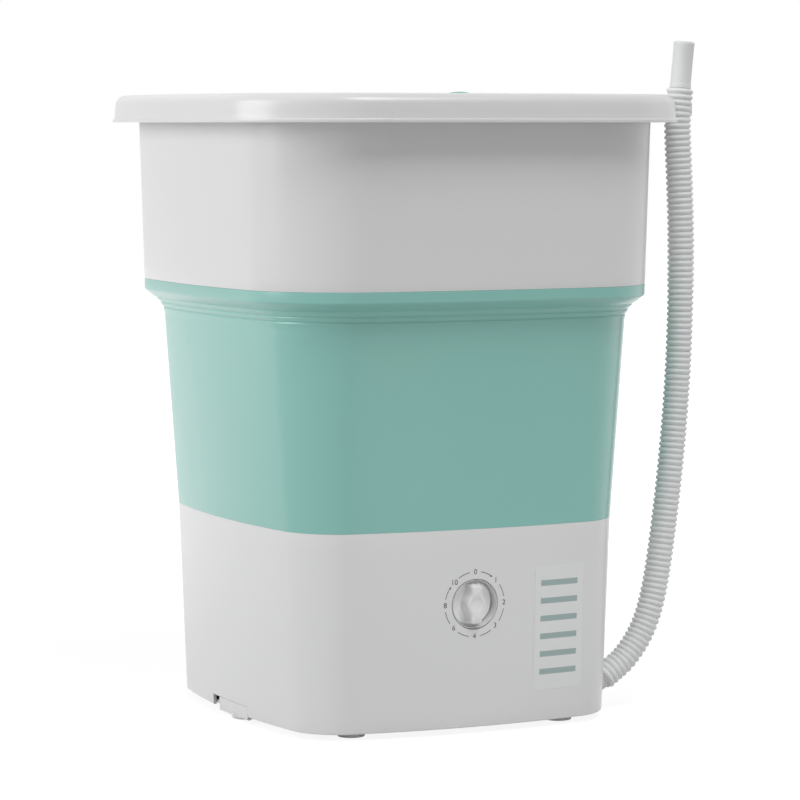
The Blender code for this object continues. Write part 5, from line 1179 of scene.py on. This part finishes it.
class WASHER_OT_film(bpy.types.Operator):
    """Lays the plain film with equal bars on the front wall"""

    bl_idname = "washer.film"
    bl_label = "Front Film"

    def execute(self, context):
        plan = Plan(context)
        wide, tall = plan.sizes.film_width, plan.sizes.film_height
        left, low, corner, columns, rows = 0.0520, 0.0291, 0.002, 44, 48
        shape = bmesh.new()
        uv = shape.loops.layers.uv.new("film")
        lines = []
        for v in (row / rows for row in range(rows + 1)):
            edge = min(v, 1 - v) * tall
            tuck = corner - sqrt(max(0, corner**2 - (corner - min(edge, corner)) ** 2))
            line = []
            for u in (column / columns for column in range(columns + 1)):
                x, z = left + tuck + (wide - 2 * tuck) * u, low + tall * v
                y = -plan.front_y(plan.base_half(z), x) - PRINT_LIFT * 2
                line.append((shape.verts.new((x, y, z)), ((x - left) / wide, v)))
            lines.append(line)
        for one, other in zip(lines, lines[1:]):
            for i in range(columns):
                corners = (one[i], one[i + 1], other[i + 1], other[i])
                face = shape.faces.new([vertex for vertex, _ in corners])
                for loop, (_, at) in zip(face.loops, corners):
                    loop[uv].uv = at
        film = object_of("front_film", shape)
        thick = film.modifiers.new("Film", "SOLIDIFY")
        thick.thickness = PRINT_LIFT * 1.6
        thick.offset = -1
        dressed(baked(film), "base", "bar film", "white_matt")
        return {"FINISHED"}


class WASHER_OT_lid(bpy.types.Operator):
    """Builds the hinged lid with its finger dish, its pull and the fixed strip behind it"""

    bl_idname = "washer.lid"
    bl_label = "Lid and Hinge"

    def execute(self, context):
        plan = Plan(context)
        mouth, reach = plan.mouth_half(), plan.sizes.rim_half + plan.sizes.side_bow
        low, high, raised = LID_LOW - OVERRUN, LID_HIGH + OVERRUN, LID_HIGH + LID_FIELD_RISE
        half = mouth - 0.001
        field = half - LID_BORDER
        section = [(field - LID_WALL, LID_LOW + LID_FIELD_RISE, 0), (field, LID_LOW, 0)]
        section += [(half, LID_LOW, EDGE), (half, LID_HIGH, 0.0010)]
        section += [(field + LID_WALL, LID_HIGH, 0.0012), (field, raised, 0.0012)]
        section = filleted(section, closed=False) + [(field - 0.020, raised)]
        lid = plan.loft("hinged_lid", section, closed=False)

        y, z = plan.depth(mouth - LEDGE_LIP), LID_LOW + HINGE_KNUCKLE
        hinge, bore, behind = lying(y, z), HINGE_PIN + SEAT_GAP, y - 2 * HINGE_KNUCKLE
        back_low = (-reach, y - HINGE_TONGUE - 2 * RUN_GAP, low)
        changes = [(CUT, block("lid_back", back_low, (reach, reach * 2, high)))]
        for side in (1, -1):
            start, end = sorted((side * half * 0.82, side * reach))
            changes.append((CUT, block("lid_corner", (start, behind, low), (end, y, high))))
        reach_of_knuckle = KNUCKLE_LENGTH / 2
        spans = [(x - reach_of_knuckle, x + reach_of_knuckle) for x in (HINGE_PLACE, -HINGE_PLACE)]
        for start, end in spans:
            arm_low = (start + HINGE_PIN, behind, LID_LOW + LID_WALL / 4)
            arm_high = (end - HINGE_PIN, y, z + HINGE_KNUCKLE * 0.33)
            changes += [
                (JOIN, block("knuckle_arm", arm_low, arm_high)),
                (JOIN, rod("knuckle", HINGE_KNUCKLE, start, end, hinge, 32)),
                (CUT, rod("knuckle_bore", bore, start - OVERRUN, end + OVERRUN, hinge, BORE_CUTS)),
            ]
        dish, floor = Matrix.Translation((0, PULL_Y, 0)), LID_LOW + LID_FIELD_RISE - 0.0085
        under, above = floor - LID_WALL, LID_HIGH + 0.02
        cup = [(0, under), (0.0095, under), (0.0114, under + 0.0010), (0.0119, under + 0.003)]
        cup += [(0.0119, LID_HIGH), (0, LID_HIGH)]
        bowl = [(0, floor), (0.0070, floor), (0.0087, floor + 0.0008), (0.0095, floor + 0.0026)]
        bowl += [(0.0095, above), (0, above)]
        changes.append((JOIN, turned("dish_outside", cup, place=dish)))
        changes.append((CUT, turned("dish_inside", bowl, place=dish)))
        lid = shaped(lid, *changes)
        dressed(lid, "lid", "white casing", "white_gloss", "lid")

        foot = raised + SEAT_GAP
        arch = [Vector((-PULL_HALF, PULL_Y, foot))]
        for step in range(PULL_CUTS + 1):
            turn = pi * (1 - step / PULL_CUTS)
            height = foot + 0.0015 + 0.0032 * sin(turn)
            arch.append(Vector((PULL_HALF * cos(turn), PULL_Y, height)))
        arch.append(Vector((PULL_HALF, PULL_Y, foot)))
        pull = swept("lid_pull_arch", arch, 0.0015, BORE_CUTS)
        dressed(pull, "lid", "teal gloss", "teal_gloss", "lid_pull", sharp=ROUND_ANGLE)

        half = mouth - SEAT_GAP
        strip = plan.loft("hinge_fixed_strip", [(half, LID_LOW), (half, LID_HIGH)], closed=False)
        window_high = (reach, reach * 2, z + 2 * HINGE_KNUCKLE)
        changes = [(KEEP, block("strip_window", (-reach, y - HINGE_TONGUE, low), window_high))]
        for start, end in spans:
            for x in (start - RUN_GAP - EAR_WIDTH, end + RUN_GAP):
                ear_low = (x, y - HINGE_KNUCKLE * 0.6, LID_LOW + LID_WALL / 2)
                ear_high = (x + EAR_WIDTH, y + HINGE_KNUCKLE, z + HINGE_KNUCKLE * 0.75)
                changes.append((JOIN, block("hinge_ear", ear_low, ear_high)))
            pocket_low = (start - RUN_GAP, y - HINGE_TONGUE - OVERRUN, low)
            pocket_high = (end + RUN_GAP, y + HINGE_KNUCKLE + RUN_GAP, z + HINGE_KNUCKLE + OVERRUN)
            far = RUN_GAP + EAR_WIDTH + OVERRUN
            changes += [
                (CUT, block("knuckle_pocket", pocket_low, pocket_high)),
                (CUT, rod("ear_bore", bore, start - far, end + far, hinge, BORE_CUTS)),
            ]
        strip = shaped(strip, *changes)
        dressed(strip, "hoop", "white casing", "white_gloss", "hinge_strip")
        return {"FINISHED"}


class WASHER_OT_hose_clip(bpy.types.Operator):
    """Builds the open ring on the rim's skirt that steadies the hose"""

    bl_idname = "washer.hose_clip"
    bl_label = "Hose Clip"

    def execute(self, context):
        plan = Plan(context)
        half, centre, bore, wall = plan.sizes.rim_half, 0.2078, 0.01295, 0.002
        low = RIM_LOW + (RIM_HIGH - RIM_LOW) * 0.25
        high, outer, skirt = low + 0.010, bore + wall, half + SEAT_GAP
        start, end, cuts = radians(20), radians(215), 48
        section = [(bore, low, 0.0005), (outer, low, 0.0007), (outer, high, 0.0007), (bore, high, 0.0005)]
        section = filleted(section, cuts=2)
        rings = []
        for cut in range(cuts + 1):
            turn = start + (end - start) * cut / cuts
            x, y = cos(turn), sin(turn)
            rings.append([(centre + reach * x, HOSE_Y + reach * y, height) for reach, height in section])
        pad_front, pad_back = -0.087, -0.069
        pad_high = (centre - bore / 2, pad_back, high - wall / 2)
        pad = block("clip_pad", (half, pad_front, low + wall / 2), pad_high)
        section = [(skirt, RIM_LOW - OVERRUN), (skirt, RIM_HIGH + OVERRUN)]
        outside = plan.loft("rim_outside", section, closed=False)
        upright = Matrix.Translation((centre, HOSE_Y, 0))
        hole = rod("clip_hole", bore + wall / 2, low - OVERRUN, high + OVERRUN, upright)
        pad = shaped(pad, (CUT, hole), (CUT, outside))
        clip = shaped(skinned("hose_steady_clip", rings), (JOIN, pad))
        dressed(clip, "hoop", "white inner", "white_matt", "hose_clip")
        return {"FINISHED"}


class WASHER_OT_spout(bpy.types.Operator):
    """Builds the spout that turns from the side wall up into the hose"""

    bl_idname = "washer.spout"
    bl_label = "Drain Spout"

    def execute(self, context):
        x, z = HOSE_ROUTE[0]
        face = Vector((x, HOSE_Y, z))
        along = Vector((cos(SPOUT_TILT), 0, sin(SPOUT_TILT)))
        bend_x, spout_z = spout_bend()
        start, upright = Vector((SPOUT_INNER_X, HOSE_Y, spout_z)), facing(face, along)
        bend = []
        for step in range(SPOUT_CUTS + 1):
            turn = -pi / 2 + SPOUT_TILT * step / SPOUT_CUTS
            rise = SPOUT_BEND + SPOUT_BEND * sin(turn)
            bend.append(Vector((bend_x + SPOUT_BEND * cos(turn), HOSE_Y, spout_z + rise)))
        bend.append(face - along * 0.0009)
        bead = [(0, -0.0015), (0.0086, -0.0015), (0.0090, -0.0012)]
        bead += [(0.0090, -0.0006), (0.0086, -0.0003), (0, -0.0003)]
        way = [start - Vector((OVERRUN, 0, 0)), *bend, face + along * (SPIGOT_LENGTH + OVERRUN)]
        spout = shaped(
            swept("spout_elbow", [start, *bend], SPOUT_RADIUS, SMALL_TURN_CUTS),
            (JOIN, turned("spout_bead", bead, place=upright)),
            (JOIN, rod("spigot", SPIGOT_RADIUS, -0.0012, SPIGOT_LENGTH, upright, SMALL_TURN_CUTS)),
            (CUT, swept("spout_bore", way, SPOUT_BORE, BORE_CUTS)),
        )
        dressed(spout, "base", "white inner", "white_matt", "drain_spout")
        return {"FINISHED"}


class WASHER_OT_wash_pan(bpy.types.Operator):
    """Builds the wash pan and the finned pulsator"""

    bl_idname = "washer.wash_pan"
    bl_label = "Wash Pan and Pulsator"

    def execute(self, context):
        plan = Plan(context)
        outer = plan.base_half(LEDGE_TOP) - BASE_WALL - SEAT_GAP
        neck, step, top = outer - LEDGE_REACH, LEDGE_TOP + SEAT_GAP, BASE_HIGH + 0.0095
        inner, under = neck - PAN_WALL, PAN_FLOOR - PAN_WALL
        middle = inner - 0.012
        section = [(middle, PAN_FLOOR, 0), (inner, PAN_FLOOR, 0.010), (inner, step + PAN_WALL, 0.0012)]
        section += [(outer - PAN_WALL, step + PAN_WALL, 0.0012), (outer - PAN_WALL, top, 0.0008)]
        section += [(outer, top, 0.0008), (outer, step, EDGE), (neck, step, 0), (neck, under, 0.013)]
        section += [(middle, under, 0)]
        low, high = under - OVERRUN, PAN_FLOOR + OVERRUN
        sump = Matrix.Translation((SUMP_X, HOSE_Y, 0))
        pan = shaped(
            plan.loft("wash_pan", filleted(section, closed=False), closed=False),
            (CUT, rod("hub_hole", HOUSING_RADIUS + SEAT_GAP, low, high)),
            (CUT, rod("sump_hole", SUMP_RADIUS + SEAT_GAP, low, high, sump)),
        )
        dressed(pan, "base", "white casing", "white_gloss", "tub_pan")

        low, hub, bore, radius = PAN_FLOOR + 0.003, 0.012, 0.004 + SEAT_GAP, 0.085
        edge, crown, inner = low + 0.004, low + 0.015, radius - 0.003
        profile = [(bore, crown)]
        for share in (cut / 12 for cut in range(13)):
            rise = (0.5 + 0.5 * cos(pi * share)) ** 1.15
            profile.append((hub + (radius - hub - 0.0008) * share, edge + (crown - edge) * rise))
        profile += [(radius, edge - 0.0006), (radius, low + 0.0004), (radius - 0.0004, low)]
        profile += [(inner, low), (inner, edge - 0.0022), (radius / 2, edge + 0.0015)]
        profile += [(hub, crown - 0.0045), (hub, low), (bore, low)]
        vane_out, vane_rise, vane_turn, vane_half = 0.047, 0.00385, radians(20), (0.034, 0.0085, 0.0075)
        vane = Matrix.Translation((vane_out, 0, edge + vane_rise)) @ Matrix.Rotation(vane_turn, 4, "Z")
        vane @= Matrix.Diagonal((*vane_half, 1))
        vanes = []
        for count in range(4):
            shape = bmesh.new()
            place = Matrix.Rotation(count * pi / 2, 4, "Z") @ vane
            bmesh.ops.create_uvsphere(shape, u_segments=36, v_segments=18, radius=1, matrix=place)
            vanes.append((JOIN, object_of("vane", shape)))
        pulsator = shaped(turned("finned_pulsator", profile, 72, closed=True), *vanes)
        dressed(pulsator, "pulsator", "teal gloss", "teal_gloss", "pulsator")
        return {"FINISHED"}


class WASHER_OT_packed_pieces(bpy.types.Operator):
    """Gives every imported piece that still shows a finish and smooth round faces"""

    bl_idname = "washer.packed_pieces"
    bl_label = "Packed Pieces"

    looks: StringProperty(
        name="Looks",
        description="Entries of a name's start and its finish, of which the first that fits counts",
        default=(
            "bottom_cover:white inner;bearing_housing:grey moulding;shaft_seal:black rubber;"
            "drive_plate:zinc sheet;plate_screw_:bright steel;motor_bolt_:bright steel;"
            "motor:motor paint;drive_belt:black rubber;"
            "capacitor_cup:grey moulding;capacitor:white inner;timer_shaft:bright steel;timer:grey moulding;"
            "drain_strainer:white inner;drain_pipe:grey moulding;pulsator_screw:bright steel;"
            "pulsator_shaft:bright steel;driven_pulley:grey moulding;pulley_nut:bright steel;"
            "hinge_pin_:bright steel"
        ),
    )

    def execute(self, context):
        tree = Tree("smooth_by_angle")
        limit = tree.given_as("Angle", radians(50))
        merged = tree.node("GeometryNodeMergeByDistance", Geometry=tree.source(), Distance=0.000002)
        faces = tree.node("GeometryNodeSetShadeSmooth", Geometry=merged)
        turn = tree.node("GeometryNodeInputMeshEdgeAngle", "Unsigned Angle")
        gentle = tree.node("FunctionNodeCompare", 0, {"operation": "LESS_THAN"}, A=turn, B=limit)
        values = {"Geometry": faces, "Shade Smooth": gentle}
        tree.ends_in(tree.node("GeometryNodeSetShadeSmooth", 0, {"domain": "EDGE"}, values))
        entries = [entry.split(":") for entry in self.looks.split(";")]
        for name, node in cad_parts.items():
            if node.hide_render:
                continue
            look = next((look for start, look in entries if name.startswith(start)), None)
            if look is None:
                raise RuntimeError(f"no finish is set for the packed piece {name}")
            node.data.materials.clear()
            node.data.materials.append(finish(look))
            tree.put_on(node)
        return {"FINISHED"}


STEPS = (
    WASHER_OT_stage,
    WASHER_OT_drain_hose,
    WASHER_OT_rim,
    WASHER_OT_hoop,
    WASHER_OT_bellows,
    WASHER_OT_base,
    WASHER_OT_feet,
    WASHER_OT_dial,
    WASHER_OT_film,
    WASHER_OT_lid,
    WASHER_OT_hose_clip,
    WASHER_OT_spout,
    WASHER_OT_wash_pan,
    WASHER_OT_packed_pieces,
)
GROUPS = (
    ("washer_sizes", WasherSizes),
    ("washer_hose", HoseSizes),
    ("washer_finishes", WasherFinishes),
    ("washer_studio", StudioSettings),
)


class WASHER_PT_panel(bpy.types.Panel):
    """Lists the settings and the steps that build the dressed machine."""

    bl_label = "Folding Washing Machine"
    bl_space_type = "VIEW_3D"
    bl_region_type = "UI"
    bl_category = "Washer"

    def draw(self, context):
        for name, _ in GROUPS:
            group = getattr(context.scene, name)
            box = self.layout.box()
            for key in group.bl_rna.properties.keys():
                if key not in ("rna_type", "name"):
                    box.prop(group, key)
        for step in STEPS:
            self.layout.operator(step.bl_idname)


def register():
    for name, group in GROUPS:
        bpy.utils.register_class(group)
        setattr(bpy.types.Scene, name, PointerProperty(type=group))
    for kind in (*STEPS, WASHER_PT_panel):
        bpy.utils.register_class(kind)


def unregister():
    for kind in (WASHER_PT_panel, *reversed(STEPS)):
        bpy.utils.unregister_class(kind)
    for name, group in reversed(GROUPS):
        delattr(bpy.types.Scene, name)
        bpy.utils.unregister_class(group)


def main():
    """Builds every piece in order."""
    register()
    for step in STEPS:
        area, name = step.bl_idname.split(".")
        getattr(getattr(bpy.ops, area), name)()


if __name__ == "__main__":
    main()
